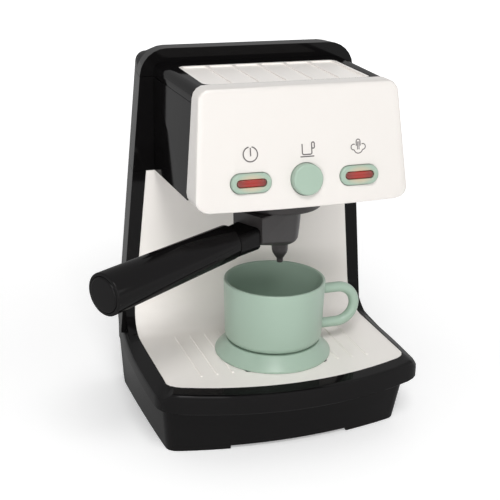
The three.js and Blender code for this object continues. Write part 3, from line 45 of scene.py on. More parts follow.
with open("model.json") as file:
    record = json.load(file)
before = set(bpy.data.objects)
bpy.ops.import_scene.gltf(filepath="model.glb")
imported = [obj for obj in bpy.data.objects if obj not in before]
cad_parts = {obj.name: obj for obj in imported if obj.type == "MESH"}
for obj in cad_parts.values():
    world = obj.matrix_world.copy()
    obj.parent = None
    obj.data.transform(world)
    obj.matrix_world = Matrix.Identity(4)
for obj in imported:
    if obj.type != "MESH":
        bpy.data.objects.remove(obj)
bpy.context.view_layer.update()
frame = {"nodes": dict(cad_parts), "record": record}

MM = 0.001
PLATE_LOW, PLATE_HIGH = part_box("front_plate")
MIDDLE_X = (PLATE_LOW.x + PLATE_HIGH.x) / 2
REAR_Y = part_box("rear_shell")[1].y
RING_LOW, RING_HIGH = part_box("group_ring")
GROUP_Y = (RING_LOW.y + RING_HIGH.y) / 2
STAND_LOW, STAND_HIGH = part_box("cup_stand")
CUP_Y = (STAND_LOW.y + STAND_HIGH.y) / 2
HANDLE_ANGLE = math.radians(-150.6)


def place(x, y, z):
    """A place in the row frame, from millimetres right of the middle, off the back and up."""
    return Vector((MIDDLE_X + x * MM, REAR_Y + y * MM, z * MM))


# Sizes and colours that a user would change


def colour_setting(name, description, default):
    return FloatVectorProperty(name=name, description=description, default=default, subtype="COLOR")


def width_setting(name, description, default):
    return FloatProperty(name=name, description=description, default=default, unit="LENGTH")


def power_setting(name, description, default):
    return FloatProperty(name=name, description=description, default=default, unit="POWER")


class LookSettings(PropertyGroup):
    """Colours of the plastics."""

    casing: colour_setting("Casing", "Colour of the black casing", (0.005, 0.0046, 0.0048))
    panels: colour_setting("Panels", "Colour of the white panels", (0.92, 0.88, 0.84))
    mint: colour_setting("Mint", "Colour of the cup, its stand and the keys", (0.33, 0.435, 0.355))
    group: colour_setting("Brew group", "Colour of the brew group", (0.03, 0.027, 0.027))
    lens: colour_setting("Lens", "Colour of the lit lenses", (0.25, 0.012, 0.008))
    print_grey: colour_setting("Print", "Colour of the printed signs", (0.10, 0.09, 0.09))


class ShapeSettings(PropertyGroup):
    """Fineness of the shapes."""

    sides: IntProperty(
        name="Sides", description="Sides of the turned pieces", default=96, min=24, max=256
    )
    edge: width_setting("Edge", "Width of the small rounding on moulded edges", 0.0004)
    casing_edge: width_setting("Casing edge", "Width of the rounding on the casing's edges", 0.0009)
    sharp: FloatProperty(
        name="Sharp angle",
        description="Edges that turn more than this stay crisp",
        default=math.radians(32),
        subtype="ANGLE",
    )
    stroke: width_setting("Stroke", "Line width of the printed signs", 0.0007)


class StageSettings(PropertyGroup):
    """Floor and studio light."""

    floor: colour_setting("Floor", "Colour of the floor", (0.93, 0.93, 0.93))
    key: power_setting("Key", "Power of the main softbox", 5.0)
    fill: power_setting("Fill", "Power of the side softbox", 2.0)
    top: power_setting("Top", "Power of the softbox high in front", 12.0)
    low: power_setting("Low", "Power of the low softbox in front", 2.5)
    world: FloatProperty(
        name="Surroundings", description="Strength of the room's own light", default=0.42
    )


# Node material helpers


def maths(operation, swapped=False):
    """An operator of a signal, with its sides swapped where it is a reflected one."""

    def apply(self, other):
        first, second = (other, self) if swapped else (self, other)
        node = self.nodes.node("ShaderNodeMath", {"operation": operation}, {0: first, 1: second})
        return self.nodes.out(node, "Value")

    return apply


class Signal:
    """A socket among the nodes, so that shader maths reads as an expression."""

    def __init__(self, nodes, socket):
        self.nodes = nodes
        self.socket = socket

    __add__ = __radd__ = maths("ADD")
    __mul__ = __rmul__ = maths("MULTIPLY")
    __sub__, __rsub__ = maths("SUBTRACT"), maths("SUBTRACT", swapped=True)
    __truediv__, __rtruediv__ = maths("DIVIDE"), maths("DIVIDE", swapped=True)
    __pow__, __rpow__ = maths("POWER"), maths("POWER", swapped=True)
    __gt__ = maths("GREATER_THAN")


class Nodes:
    """A node tree under construction, with one method that adds any node."""

    def __init__(self, tree):
        self.tree = tree
        tree.nodes.clear()

    def node(self, kind, settings=None, values=None):
        node = self.tree.nodes.new(kind)
        for key, value in (settings or {}).items():
            if key == "stops":
                self._stops(node.color_ramp, value)
            else:
                setattr(node, key, value)
        for key, value in (values or {}).items():
            if isinstance(value, Signal):
                self.tree.links.new(value.socket, node.inputs[key])
            else:
                node.inputs[key].default_value = value
        return node

    def _stops(self, ramp, stops):
        while len(ramp.elements) > 1:
            ramp.elements.remove(ramp.elements[-1])
        for number, (position, colour) in enumerate(stops):
            element = ramp.elements[0] if number == 0 else ramp.elements.new(position)
            element.position = position
            element.color = colour

    def out(self, node, name):
        return Signal(self, node.outputs[name])

    def clamped(self, signal):
        """The signal held between 0 and 1."""
        return self.out(self.node("ShaderNodeClamp", None, {"Value": signal}), "Result")

    def seen(self):
        """1 for what the camera, a gloss or clear plastic sees directly, 0 for spread light."""
        path = self.node("ShaderNodeLightPath")
        rays = self.out(path, "Is Camera Ray") + self.out(path, "Is Glossy Ray")
        return self.clamped(rays + self.out(path, "Is Transmission Ray"))

    def vector(self, operation, first, second=None, out="Vector"):
        values = {0: first} if second is None else {0: first, 1: second}
        return self.out(self.node("ShaderNodeVectorMath", {"operation": operation}, values), out)


BLACK, WHITE = (0, 0, 0, 1), (1, 1, 1, 1)


class Finish(Nodes):
    """A material under construction."""

    def __init__(self, name):
        self.material = bpy.data.materials.new(name)
        self.material.use_nodes = True
        super().__init__(self.material.node_tree)
        self.place = self.out(self.node("ShaderNodeTexCoord"), "Object")

    def noise(self, scale, detail=3.0, roughness=0.55, stretch=(1, 1, 1)):
        """Noise in the object's own place. scale counts blotches in a metre."""
        mapping = self.node("ShaderNodeMapping", None, {"Vector": self.place, "Scale": stretch})
        values = {"Vector": self.out(mapping, "Vector"), "Scale": scale, "Detail": detail}
        values["Roughness"] = roughness
        return self.out(self.node("ShaderNodeTexNoise", None, values), "Fac")

    def mask(self, signal, low, high):
        """0 below low, 1 above high."""
        settings = {"stops": [(low, BLACK), (high, WHITE)]}
        return self.out(self.node("ShaderNodeValToRGB", settings, {"Fac": signal}), "Color")

    def blend(self, factor, first, second):
        """One colour over another."""
        node = self.node("ShaderNodeMix", {"data_type": "RGBA"}, {0: factor, 6: first, 7: second})
        return Signal(self, node.outputs[2])

    def bump(self, height, depth, strength=1.0):
        values = {"Height": height, "Distance": depth, "Strength": strength}
        return self.out(self.node("ShaderNodeBump", None, values), "Normal")

    def surface(self, colour, roughness, normal=None, **sockets):
        values = {"Base Color": colour, "Roughness": roughness}
        if normal is not None:
            values["Normal"] = normal
        values.update({key.replace("_", " "): value for key, value in sockets.items()})
        shader = self.node("ShaderNodeBsdfPrincipled", None, values)
        self.node("ShaderNodeOutputMaterial", None, {"Surface": self.out(shader, "BSDF")})
        return self.material


def full(colour):
    """The colour with full cover."""
    return (*colour[:3], 1.0)


def shade(colour, factor):
    """The colour made darker or lighter."""
    return (*(min(1.0, channel * factor) for channel in colour[:3]), 1.0)


# Heights of surface textures and reaches of marks, in metres

POLISH_WAVES = 0.00003
ORANGE_PEEL = 0.00003
SPARK_GRAIN = 0.00004
TURNING_MARKS = 0.00002
TRACK_RISE = 0.00004
SLEEVE_GRAIN = 0.00002
INSULATION_BLOOM = 0.00003
LENS_RIB_RISE = 0.0001
LENS_LIT_REACH = 0.0092
GLOW_REACH = (0.0105, 1.0, 0.0058)
SLEEVE_BAND_START = 0.009

# The front plate painted darker than the other panels, as a share of their colour: painted shade,
# since it is the same white and takes more light
PLATE_PAINTED_SHADE_FACTOR = 0.79


def gloss_casing_plastic(looks):
    """Black injection-moulded plastic, polished, with faint flow marks, dust and hairline rubs."""
    finish = Finish("gloss_casing_plastic")
    flow = finish.noise(14, 2.0, 0.4, (1, 1, 0.35))
    dust = finish.mask(finish.noise(900, 2.0, 0.6), 0.66, 0.8)
    rubs = finish.mask(finish.noise(260, 4.0, 0.7, (1, 1, 9)), 0.62, 0.78)
    dark = finish.blend(flow, shade(looks.casing, 0.7), shade(looks.casing, 1.35))
    colour = finish.blend(dust * 0.06, dark, (0.10, 0.097, 0.093, 1))
    roughness = 0.16 + flow * 0.06 + dust * 0.10 + rubs * 0.05
    polish = 0.2 - dust * 0.07 - rubs * 0.04
    normal = finish.bump(finish.noise(240, 2.0, 0.5), POLISH_WAVES, 0.35)
    coat = {"Specular_IOR_Level": 0.0, "Coat_Weight": polish, "Coat_Roughness": 0.08}
    return finish.surface(colour, roughness, normal, **coat)


def satin_panel_plastic(looks, name="satin_panel_plastic", painted_shade_factor=1.0):
    """Warm white plastic with slight mottling and a fine orange peel."""
    finish = Finish(name)
    broad = finish.noise(18, 2.0, 0.5)
    fine = finish.noise(420, 3.0, 0.6)
    specks = finish.mask(finish.noise(1500, 1.0, 0.5), 0.74, 0.84)
    # painted_shade_factor darkens the whole colour as painted shade, for a panel that takes more
    # light; 1 leaves it as it is
    base = finish.blend(broad, shade(looks.panels, painted_shade_factor * 0.985), shade(looks.panels, painted_shade_factor * 1.015))
    colour = finish.blend(specks * 0.12, base, shade(looks.panels, painted_shade_factor * 0.72))
    roughness = 0.27 + broad * 0.08 + fine * 0.06
    normal = finish.bump(fine, ORANGE_PEEL, 0.4)
    return finish.surface(colour, roughness, normal, Specular_IOR_Level=0.4)


def mint_plastic(looks, name="mint_plastic", glow=None):
    """Mint plastic. glow is the centre and the reach of a warm cast from a lit lens."""
    finish = Finish(name)
    broad = finish.noise(30, 2.0, 0.5)
    fine = finish.noise(520, 3.0, 0.6)
    rubs = finish.mask(finish.noise(150, 5.0, 0.7, (1, 1, 6)), 0.6, 0.75)
    colour = finish.blend(broad, shade(looks.mint, 0.96), shade(looks.mint, 1.05))
    if glow:
        centre, reach = glow
        offset = finish.vector("SUBTRACT", finish.place, centre)
        distance = finish.vector("LENGTH", finish.vector("DIVIDE", offset, reach), out="Value")
        near = finish.mask(1 - distance, 0.0, 0.8)
        colour = finish.blend(near * 0.55, colour, (0.84, 0.42, 0.22, 1))
    roughness = 0.24 + broad * 0.08 + fine * 0.05 + rubs * 0.04
    normal = finish.bump(fine, ORANGE_PEEL, 0.4)
    return finish.surface(colour, roughness, normal, Specular_IOR_Level=0.4)


def grey_group_plastic(looks):
    """Dark grey plastic with a fine spark-eroded texture."""
    finish = Finish("grey_group_plastic")
    broad = finish.noise(60, 3.0, 0.5)
    grain = finish.noise(2600, 3.0, 0.7)
    worn = finish.mask(finish.noise(180, 4.0, 0.7), 0.58, 0.78)
    base = finish.blend(broad, shade(looks.group, 0.8), shade(looks.group, 1.25))
    colour = finish.blend(worn * 0.25, base, shade(looks.group, 1.9))
    roughness = 0.34 + grain * 0.14 + worn * 0.05
    normal = finish.bump(grain, SPARK_GRAIN, 0.5)
    return finish.surface(colour, roughness, normal, Specular_IOR_Level=0.3)


def lit_lens_plastic(looks, centre):
    """Clear red plastic, lit from behind at its middle and dark at its ends, with moulded ribs."""
    finish = Finish("lit_lens_plastic")
    offset = finish.vector("SUBTRACT", finish.place, centre)
    across = finish.out(finish.node("ShaderNodeSeparateXYZ", None, {"Vector": offset}), "X")
    reach = (across * across) ** 0.5
    middle = finish.mask(1 - reach / LENS_LIT_REACH, 0.02, 0.75)
    waves = {"Vector": finish.place, "Scale": 420.0, "Distortion": 0.4}
    ribs = finish.node("ShaderNodeTexWave", {"bands_direction": "X"}, waves)
    band = finish.out(ribs, "Fac")
    deep = finish.blend(band * 0.4, (0.16, 0.035, 0.028, 1), (0.09, 0.016, 0.012, 1))
    colour = finish.blend(middle, deep, full(looks.lens))
    glow = finish.blend(middle, (0.03, 0.002, 0.001, 1), (0.75, 0.06, 0.02, 1))
    roughness = 0.12 + band * 0.1
    normal = finish.bump(band, LENS_RIB_RISE, 0.5)
    light = {"Emission_Color": glow, "Emission_Strength": 0.1}
    return finish.surface(colour, roughness, normal, **light)


def brushed_screw_steel():
    """Zinc-plated steel with turning marks and dull spots."""
    finish = Finish("brushed_screw_steel")
    turning = finish.noise(1800, 4.0, 0.7, (1, 1, 0.2))
    dull = finish.mask(finish.noise(700, 3.0, 0.6), 0.5, 0.7)
    colour = finish.blend(dull, (0.56, 0.56, 0.57, 1), (0.42, 0.41, 0.40, 1))
    roughness = 0.22 + turning * 0.2 + dull * 0.1
    return finish.surface(colour, roughness, finish.bump(turning, TURNING_MARKS, 0.5), Metallic=1.0)


def board_mask():
    """Green solder mask over copper tracks, with tinned pads."""
    finish = Finish("board_mask")
    borders = {"feature": "DISTANCE_TO_EDGE"}
    cells = finish.node("ShaderNodeTexVoronoi", borders, {"Vector": finish.place, "Scale": 210.0})
    tracks = finish.mask(finish.out(cells, "Distance"), 0.04, 0.1)
    dots = finish.node("ShaderNodeTexVoronoi", None, {"Vector": finish.place, "Scale": 330.0})
    pads = 1 - finish.mask(finish.out(dots, "Distance"), 0.1, 0.16)
    green = finish.blend(tracks, (0.03, 0.22, 0.07, 1), (0.012, 0.11, 0.035, 1))
    colour = finish.blend(pads, green, (0.55, 0.53, 0.48, 1))
    return finish.surface(colour, 0.3 + finish.noise(500) * 0.15, finish.bump(tracks, TRACK_RISE, 0.5))


def dull_black_plastic():
    """Unpainted black plastic of the parts inside."""
    finish = Finish("dull_black_plastic")
    grain = finish.noise(1900, 3.0, 0.7)
    broad = finish.noise(90, 2.0, 0.5)
    colour = finish.blend(broad, (0.012, 0.012, 0.013, 1), (0.03, 0.029, 0.029, 1))
    return finish.surface(colour, 0.45 + grain * 0.15, finish.bump(grain, SPARK_GRAIN, 0.5))


def cell_sleeve():
    """Printed sleeve of a dry cell, with a paler band near one end."""
    finish = Finish("cell_sleeve")
    along = finish.out(finish.node("ShaderNodeSeparateXYZ", None, {"Vector": finish.place}), "X")
    band = (along - MIDDLE_X) > SLEEVE_BAND_START
    fine = finish.noise(700, 3.0, 0.6)
    sleeve = finish.blend(fine, (0.03, 0.07, 0.26, 1), (0.045, 0.1, 0.34, 1))
    colour = finish.blend(band, sleeve, (0.62, 0.6, 0.55, 1))
    return finish.surface(colour, 0.25 + fine * 0.12, finish.bump(fine, SLEEVE_GRAIN, 0.4))


def wire_insulation(name, colour):
    """Soft insulation with a slight bloom."""
    finish = Finish(name)
    bloom = finish.noise(600, 3.0, 0.6)
    tint = finish.blend(bloom, shade(colour, 0.8), shade(colour, 1.2))
    return finish.surface(tint, 0.4 + bloom * 0.15, finish.bump(bloom, INSULATION_BLOOM, 0.5))


def sign_ink(looks):
    """Pad-printed grey ink with slightly uneven cover."""
    finish = Finish("sign_ink")
    cover = finish.noise(2400, 3.0, 0.7)
    colour = finish.blend(cover, shade(looks.print_grey, 0.85), shade(looks.print_grey, 1.25))
    return finish.surface(colour, 0.45 + cover * 0.1)


# Mesh helpers, with distances in metres. An edge shorter than SHORTEST_ROUNDED widths stays.

SAME_SPOT = 0.000002
SAME_CAD_SPOT = 0.000004
FLAT_ANGLE = math.radians(0.1)
ROUNDING_STEPS = 2
SHORTEST_ROUNDED = 2.5
BOWL_EDGE, DISC_EDGE = 0.3 * MM, 0.2 * MM
ON_AXIS = 1e-6


def shown(name, mesh, body, slot, material, *nodes):
    """Links a new piece, lets it ride on its body and stand for its nodes."""
    mesh.name = name
    piece = bpy.data.objects.new(name, mesh)
    bpy.context.scene.collection.objects.link(piece)
    piece.data.materials.clear()
    piece.data.materials.append(material)
    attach(piece, body)
    if nodes:
        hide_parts(*nodes)
    return piece


def stand_in(node, mesh, slot, material, shapes):
    """Softens a finer piece and links it in place of its node, on the node's body."""
    soften(mesh, shapes.sharp)
    return shown(node + "_fine", mesh, body_of(node), slot, material, node)


def soften(mesh, sharp):
    """Smooth shading, with edges beyond the sharp angle kept crisp."""
    mesh.polygons.foreach_set("use_smooth", [True] * len(mesh.polygons))
    mesh.set_sharp_from_angle(angle=sharp)


def finished(form):
    """The form as a mesh."""
    mesh = bpy.data.meshes.new("form")
    form.to_mesh(mesh)
    form.free()
    return mesh


def body_of(node):
    """The body that carries the node."""
    for body, members in frame["record"]["behaviour"]["bodies"].items():
        if node in members:
            return body
    raise RuntimeError(f"{node} rides on no body")


def finer_copy(node, slot, material, width, shapes):
    """The node's own shape with its crisp edges rounded over and its curved walls smooth."""
    form = bmesh.new()
    form.from_mesh(frame["nodes"][node].data)
    bmesh.ops.remove_doubles(form, verts=form.verts, dist=SAME_CAD_SPOT)
    bmesh.ops.dissolve_limit(form, angle_limit=FLAT_ANGLE, verts=form.verts, edges=form.edges)
    if width:
        crisp = [
            edge
            for edge in form.edges
            if len(edge.link_faces) == 2
            and edge.calc_face_angle(0.0) > shapes.sharp
            and edge.calc_length() > width * SHORTEST_ROUNDED
        ]
        bmesh.ops.bevel(
            form,
            geom=crisp,
            offset=width,
            offset_type="OFFSET",
            segments=ROUNDING_STEPS,
            profile=0.5,
            affect="EDGES",
            clamp_overlap=True,
        )
    piece = stand_in(node, finished(form), slot, material, shapes)
    weighted = piece.modifiers.new("even_normals", "WEIGHTED_NORMAL")
    weighted.keep_sharp = True
    return piece


def loft_mesh(rings, wrap=False):
    """A skin over rings of points, all with the same count, with flat ends or wrapped round."""
    form = bmesh.new()
    rows = [[form.verts.new(point) for point in ring] for ring in rings]
    count = len(rows[0])
    following = rows[1:] + rows[:1] if wrap else rows[1:]
    for near, far in zip(rows, following):
        for i in range(count):
            j = (i + 1) % count
            form.faces.new((near[i], near[j], far[j], far[i]))
    if not wrap:
        form.faces.new(list(reversed(rows[0])))
        form.faces.new(rows[-1])
    bmesh.ops.remove_doubles(form, verts=form.verts, dist=SAME_SPOT)
    bmesh.ops.recalc_face_normals(form, faces=form.faces)
    return finished(form)


def filleted(corners, steps=5):
    """A line of (across, up) corners, where a third value rounds that corner."""
    line = []
    for number, corner in enumerate(corners):
        here = Vector(corner[:2])
        radius = corner[2] if len(corner) > 2 else 0
        if not radius or number in (0, len(corners) - 1):
            line.append(here)
            continue
        before = (Vector(corners[number - 1][:2]) - here).normalized()
        after = (Vector(corners[number + 1][:2]) - here).normalized()
        half = before.angle(after) / 2
        reach = radius / math.tan(half)
        centre = here + (before + after).normalized() * (radius / math.sin(half))
        first = here + before * reach - centre
        last = here + after * reach - centre
        turn = first.angle_signed(last)
        for k in range(steps + 1):
            angle = -turn * k / steps
            across = first.x * math.cos(angle) - first.y * math.sin(angle)
            up = first.x * math.sin(angle) + first.y * math.cos(angle)
            line.append(centre + Vector((across, up)))
    return line


def turned_mesh(corners, sides, to_world, steps=5):
    """Corners of (radius, along) in millimetres, turned round an axis. A line that starts or
    ends off the axis is closed on itself."""
    line = filleted(corners, steps)
    form = bmesh.new()
    rows = []
    for point in line:
        row = []
        for k in range(1 if point.x < ON_AXIS else sides):
            angle = math.tau * k / sides
            across, back = point.x * math.cos(angle), point.x * math.sin(angle)
            row.append(form.verts.new(to_world(across, back, point.y)))
        rows.append(row)
    pairs = list(zip(rows, rows[1:]))
    if line[0].x >= ON_AXIS or line[-1].x >= ON_AXIS:
        pairs.append((rows[-1], rows[0]))
    for near, far in pairs:
        for i in range(sides):
            j = (i + 1) % sides
            used = []
            for row, number in ((near, i), (near, j), (far, j), (far, i)):
                vertex = row[number % len(row)]
                if vertex not in used:
                    used.append(vertex)
            if len(used) > 2:
                form.faces.new(used)
    bmesh.ops.recalc_face_normals(form, faces=form.faces)
    return finished(form)


def combined(operation, target, *others):
    """One mesh from a target and others that are joined to it or taken out of it."""
    base = bpy.data.objects.new("base", target)
    bpy.context.scene.collection.objects.link(base)
    helpers = []
    for mesh in others:
        helper = bpy.data.objects.new("helper", mesh)
        bpy.context.scene.collection.objects.link(helper)
        helpers.append(helper)
        step = base.modifiers.new("step", "BOOLEAN")
        step.operation = operation
        step.solver = "EXACT"
        step.object = helper
    graph = bpy.context.evaluated_depsgraph_get()
    result = bpy.data.meshes.new_from_object(base.evaluated_get(graph))
    for helper in [base, *helpers]:
        bpy.data.objects.remove(helper)
    return result


def turn_angles(count):
    """Even steps round a full turn."""
    return [math.tau * k / count for k in range(count)]


# Sizes in millimetres, as the solids have them. Heights are above the floor, and angles are
# in radians.

GAP = 0.3

# The portafilter's hang, about a point at this height on the brew group's axis
HANG = math.radians(2.85)
HANG_HEIGHT = 150.0

# Brew ring, with a ledge and room above it for the bowl's lugs
RING_FLOOR, RING_RADIUS, RING_EDGE = 151.6, 26.2, 1.2
RING_FLANGE, RING_FLANGE_THICK = 28.0, 2.0
RING_HOLE = 13.0
LEDGE_RADIUS, LEDGE_HEIGHT = 15.7, 3.4
LUG_ROOM, LUG_ROOM_HEIGHT = 18.6, 7.6
LUG_COUNT = 3
ENTRY_SPAN = math.radians(36)
ENTRY_BELOW = 4.0

# Bowl and spout. The side is radius, height and rounding.
BOWL_FLOOR = 126.0
SPOUT_LOW, SPOUT_BORE, SPOUT_LIP, SPOUT_LIP_EDGE = 111.6, 0.8, 2.1, 0.6
SPOUT_RADIUS, SPOUT_PIN, SPOUT_PIN_RISE = 5.5, 3.9, 1.3
SPOUT_SIDE = ((2.1, 114.4, 0.8), (3.09, 115.8, 1.2), (4.62, 118.3, 1.6), (5.1, 120.0, 3.0))
SPOUT_SIDES = 64

# Handle, with distances from the brew group's axis
HANDLE_HEIGHT = 139.7
GRIP_START, GRIP_START_RADIUS, GRIP_LIP = 48.0, 10.9, 0.8
GRIP_END, GRIP_END_RADIUS, GRIP_END_EDGE = 147.3, 12.6, 0.9
GRIP_BORE = 3.2
NECK_ROOM, NECK_ROOM_END = 8.8, 53.3
SCREW_HOLE, SCREW_SEAT = 2.1, 55.7
CAP_ROOM, CAP_RADIUS, CAP_EDGE = 10.7, 10.4, 1.2
CAP_DEPTH, CAP_RISE = 4.0, 0.8

# Cup with its foot ring and loop
CUP_FLOOR, CUP_RIM = 58.0, 99.2
CUP_WALL, CUP_HEEL, CUP_RIM_EDGE = 2.1, 5.0, 0.9
CUP_FOOT_RADIUS, CUP_RIM_RADIUS, CUP_RIM_INNER, CUP_FLOOR_INNER = 31.6, 33.0, 31.0, 29.4
FOOT_RING_RADIUS, FOOT_RING_RISE, FOOT_RING_SLOPE = 24.6, 0.4, 0.8
FOOT_RING_ROOT, FOOT_RING_EDGE = 0.4, 0.6
LOOP_TUBE, LOOP_RADIUS = 3.4, 12.4
LOOP_X, LOOP_HEIGHT, LOOP_ROOT_X = 44.7, 75.6, 30.55
LOOP_STEPS, LOOP_SIDES = 24, 32

# Cup stand with its clips
STAND_FLOOR, STAND_FOOT, STAND_LIP = 48.9, 37.9, 1.2
STAND_TOP_RADIUS, STAND_HOLE = 30.4, 24.2
STAND_UNDER_RADIUS, STAND_UNDER_DROP, STAND_UNDER_FOOT = 28.0, 4.0, 34.3
STAND_INNER_DROP, STAND_WALL = 2.4, 1.8
STAND_UNDER_BEND, STAND_LIP_EDGE, STAND_TOP_EDGE, STAND_HOLE_EDGE = 1.0, 0.4, 0.6, 0.5
CLIP_RADIUS, CLIP_DROP, CLIP_RISE = 2.6, 2.2, 1.7
CLIP_SIDES = 24

# Keys. A long or a high is half of an oval, and a depth is behind the plate's face.
# The lens crown is half length, half height and rise.
KEY_HEIGHT, OVAL_X = 178.5, 33.9
OVAL_LONG, OVAL_HIGH, OVAL_RISE = 12.3, 5.8, 2.2
KEY_EDGE, FLANGE_LIP, FLANGE_THICK, FLANGE_DEPTH = 1.1, 1.1, 1.4, 3.0
WINDOW_LONG, WINDOW_HIGH, WINDOW_BEVEL = 9.3, 2.4, 0.25
STEM_RADIUS, STEM_SIDES, STEM_SINK = 1.3, 24, 1.0
BOARD_DEPTH, SWITCH_HEIGHT, PLUNGER_HEIGHT, KEY_TRAVEL = 12.0, 2.2, 0.7, 1.5
# How far out of the plate's frame a stem ends, off its switch by a gap when it is pressed
STEM_END = -BOARD_DEPTH + GAP + SWITCH_HEIGHT + PLUNGER_HEIGHT + KEY_TRAVEL + GAP
LENS_LONG, LENS_HIGH, LENS_SINK, LENS_EDGE = 9.0, 2.1, 0.5, 0.6
LENS_CROWN = ((6.5, 0.9, 0.12), (5.9, 0.3, 0.16))
ROUND_RADIUS, ROUND_TOP_RADIUS, ROUND_RISE = 9.5, 9.35, 4.6
ROUND_EDGE, ROUND_CROWN = 1.4, 0.1

# Front plate, tilted and bowed
PLATE_TOP, PLATE_BOTTOM = 232.3, 162.0
PLATE_TOP_HALF, PLATE_BOTTOM_HALF = 62.4, 67.8
PLATE_TOP_BOW, PLATE_BOTTOM_BOW = 1.0, 3.4
PLATE_TILT = math.radians(10.6)
PLATE_FRONT = -122.4

# Signs, above the keys' height on the plate
SIGN_UP = 16.6
POWER_SIGN_X, CUP_SIGN_X, STEAM_SIGN_X = -33.5, 1.3, 34.2
CUP_SIGN_DROP = 3.5
STEAM_STROKE_SHARE = 0.85
INK_LIFT = 0.07


# Places in the row frame


def upright(y):
    """Gives places round an upright axis in the middle plane, at y metres in the row frame."""

    def to_world(across, back, up):
        return Vector((MIDDLE_X + across * MM, y + back * MM, up * MM))

    return to_world


def hung(x, y, z):
    """A place in the row frame from the portafilter's own frame, in millimetres, whose handle
    runs along x. The portafilter hangs a little below level from the brew group."""
    up = z - HANG_HEIGHT
    along = x * math.cos(HANG) + up * math.sin(HANG)
    rise = up * math.cos(HANG) - x * math.sin(HANG) + HANG_HEIGHT
    out = Vector((math.cos(HANDLE_ANGLE), math.sin(HANDLE_ANGLE), 0))
    side = Vector((-out.y, out.x, 0))
    return Vector((MIDDLE_X, GROUP_Y, rise * MM)) + out * along * MM + side * y * MM


def plate_fallen_share(z):
    """0 at the plate's top edge, 1 at its bottom edge."""
    return (PLATE_TOP - z) / (PLATE_TOP - PLATE_BOTTOM)


def plate_half(z):
    """Half the plate's width at a height."""
    return PLATE_TOP_HALF + (PLATE_BOTTOM_HALF - PLATE_TOP_HALF) * plate_fallen_share(z)


def plate_front(x, z):
    """The bowed face, in millimetres off the back."""
    side = min(1.0, abs(x) / plate_half(KEY_HEIGHT))
    most = PLATE_TOP_BOW + (PLATE_BOTTOM_BOW - PLATE_TOP_BOW) * plate_fallen_share(z)
    return PLATE_FRONT - (PLATE_TOP - z) * math.tan(PLATE_TILT) - most * (1 - side * side)


PLATE_OUT = Vector((0, -math.cos(PLATE_TILT), math.sin(PLATE_TILT)))
PLATE_UP = Vector((0, math.sin(PLATE_TILT), math.cos(PLATE_TILT)))
PLATE_ORIGIN = place(0, PLATE_FRONT - (PLATE_TOP - KEY_HEIGHT) * math.tan(PLATE_TILT), KEY_HEIGHT)


def on_plate_frame(x, up, out):
    """Millimetres across, up and out of the plate, from the keys' height."""
    return PLATE_ORIGIN + Vector((x * MM, 0, 0)) + PLATE_UP * up * MM + PLATE_OUT * out * MM


def plate_rise(x, up=0.0):
    """How far the bowed face stands out of the plate's frame."""
    z = KEY_HEIGHT + up * math.cos(PLATE_TILT)
    flat = PLATE_FRONT - (PLATE_TOP - z) * math.tan(PLATE_TILT)
    return (flat - plate_front(x, z)) * math.cos(PLATE_TILT)


def ribbon(lines, width, lift):
    """Flat strokes that lie on the front plate, each a list of (across, up) in millimetres."""
    form = bmesh.new()
    for line in lines:
        left, right = [], []
        for number, point in enumerate(line):
            before = Vector(line[max(0, number - 1)])
            after = Vector(line[min(len(line) - 1, number + 1)])
            if line[0] == line[-1] and number in (0, len(line) - 1):
                before, after = Vector(line[-2]), Vector(line[1])
            way = (after - before).normalized()
            across = Vector((-way.y, way.x)) * width / 2
            for row, sign in ((left, 1), (right, -1)):
                x, up = Vector(point) + across * sign
                row.append(form.verts.new(on_plate_frame(x, up, plate_rise(x, up) + lift)))
        for i in range(len(line) - 1):
            form.faces.new((left[i], right[i], right[i + 1], left[i + 1]))
    bmesh.ops.recalc_face_normals(form, faces=form.faces)
    for face in form.faces:
        if face.normal.dot(PLATE_OUT) < 0:
            face.normal_flip()
    return finished(form)


def arc(centre, radius, start, end, steps=28):
    """Points along an arc, from one angle in degrees to another."""
    points = []
    for k in range(steps + 1):
        angle = math.radians(start + (end - start) * k / steps)
        points.append((centre[0] + radius * math.cos(angle), centre[1] + radius * math.sin(angle)))
    if abs(end - start) == 360:
        points[-1] = points[0]
    return points


def stadium(half_long, half_high, steps):
    """An outline with round ends, from the right end's lowest corner anticlockwise."""
    points = []
    straight = half_long - half_high
    for side, centre in ((-90, straight), (90, -straight)):
        for k in range(steps + 1):
            angle = math.radians(side + 180 * k / steps)
            points.append((centre + half_high * math.cos(angle), half_high * math.sin(angle)))
    return points


def rounded_edge(radius, top, steps):
    """Insets and heights of a rounded edge that ends at a flat top."""
    edge = []
    for k in range(steps + 1):
        angle = math.radians(90 * k / steps)
        edge.append((radius * (1 - math.cos(angle)), top - radius * (1 - math.sin(angle))))
    return edge


def ovals(x, rows, steps):
    """Rings round the place x on the plate, from rows of half length, half height and height."""
    return [
        [on_plate_frame(x + a, b, height) for a, b in stadium(half_long, half_high, steps)]
        for half_long, half_high, height in rows
    ]


def post_mesh(to_world, x, y, radius, low, high, sides):
    """A round post between two heights."""
    rings = [
        [to_world(x + radius * math.cos(t), y + radius * math.sin(t), z) for t in turn_angles(sides)]
        for z in (low, high)
    ]
    return loft_mesh(rings)


def turned_about_handle(corners, sides, steps=5):
    """Corners of (radius, distance from the brew group's axis), turned round the handle's axis."""

    def to_world(side, up, along):
        return hung(along, side, HANDLE_HEIGHT + up)

    return turned_mesh(corners, sides, to_world, steps)


def sector_mesh(middle, span, radius, low, high, steps=8):
    """A wedge of a disc round the brew group's axis."""
    rings = []
    turn = upright(GROUP_Y)
    for z in (low, high):
        ring = [turn(0, 0, z)]
        for k in range(steps + 1):
            angle = middle - span / 2 + span * k / steps
            ring.append(turn(radius * math.cos(angle), radius * math.sin(angle), z))
        rings.append(ring)
    return loft_mesh(rings)


def lug_angles():
    """Where the lugs enter the ring, evenly round it with the handle between two of them."""
    return [HANDLE_ANGLE + math.tau * (k + 0.5) / LUG_COUNT for k in range(LUG_COUNT)]


# Operators


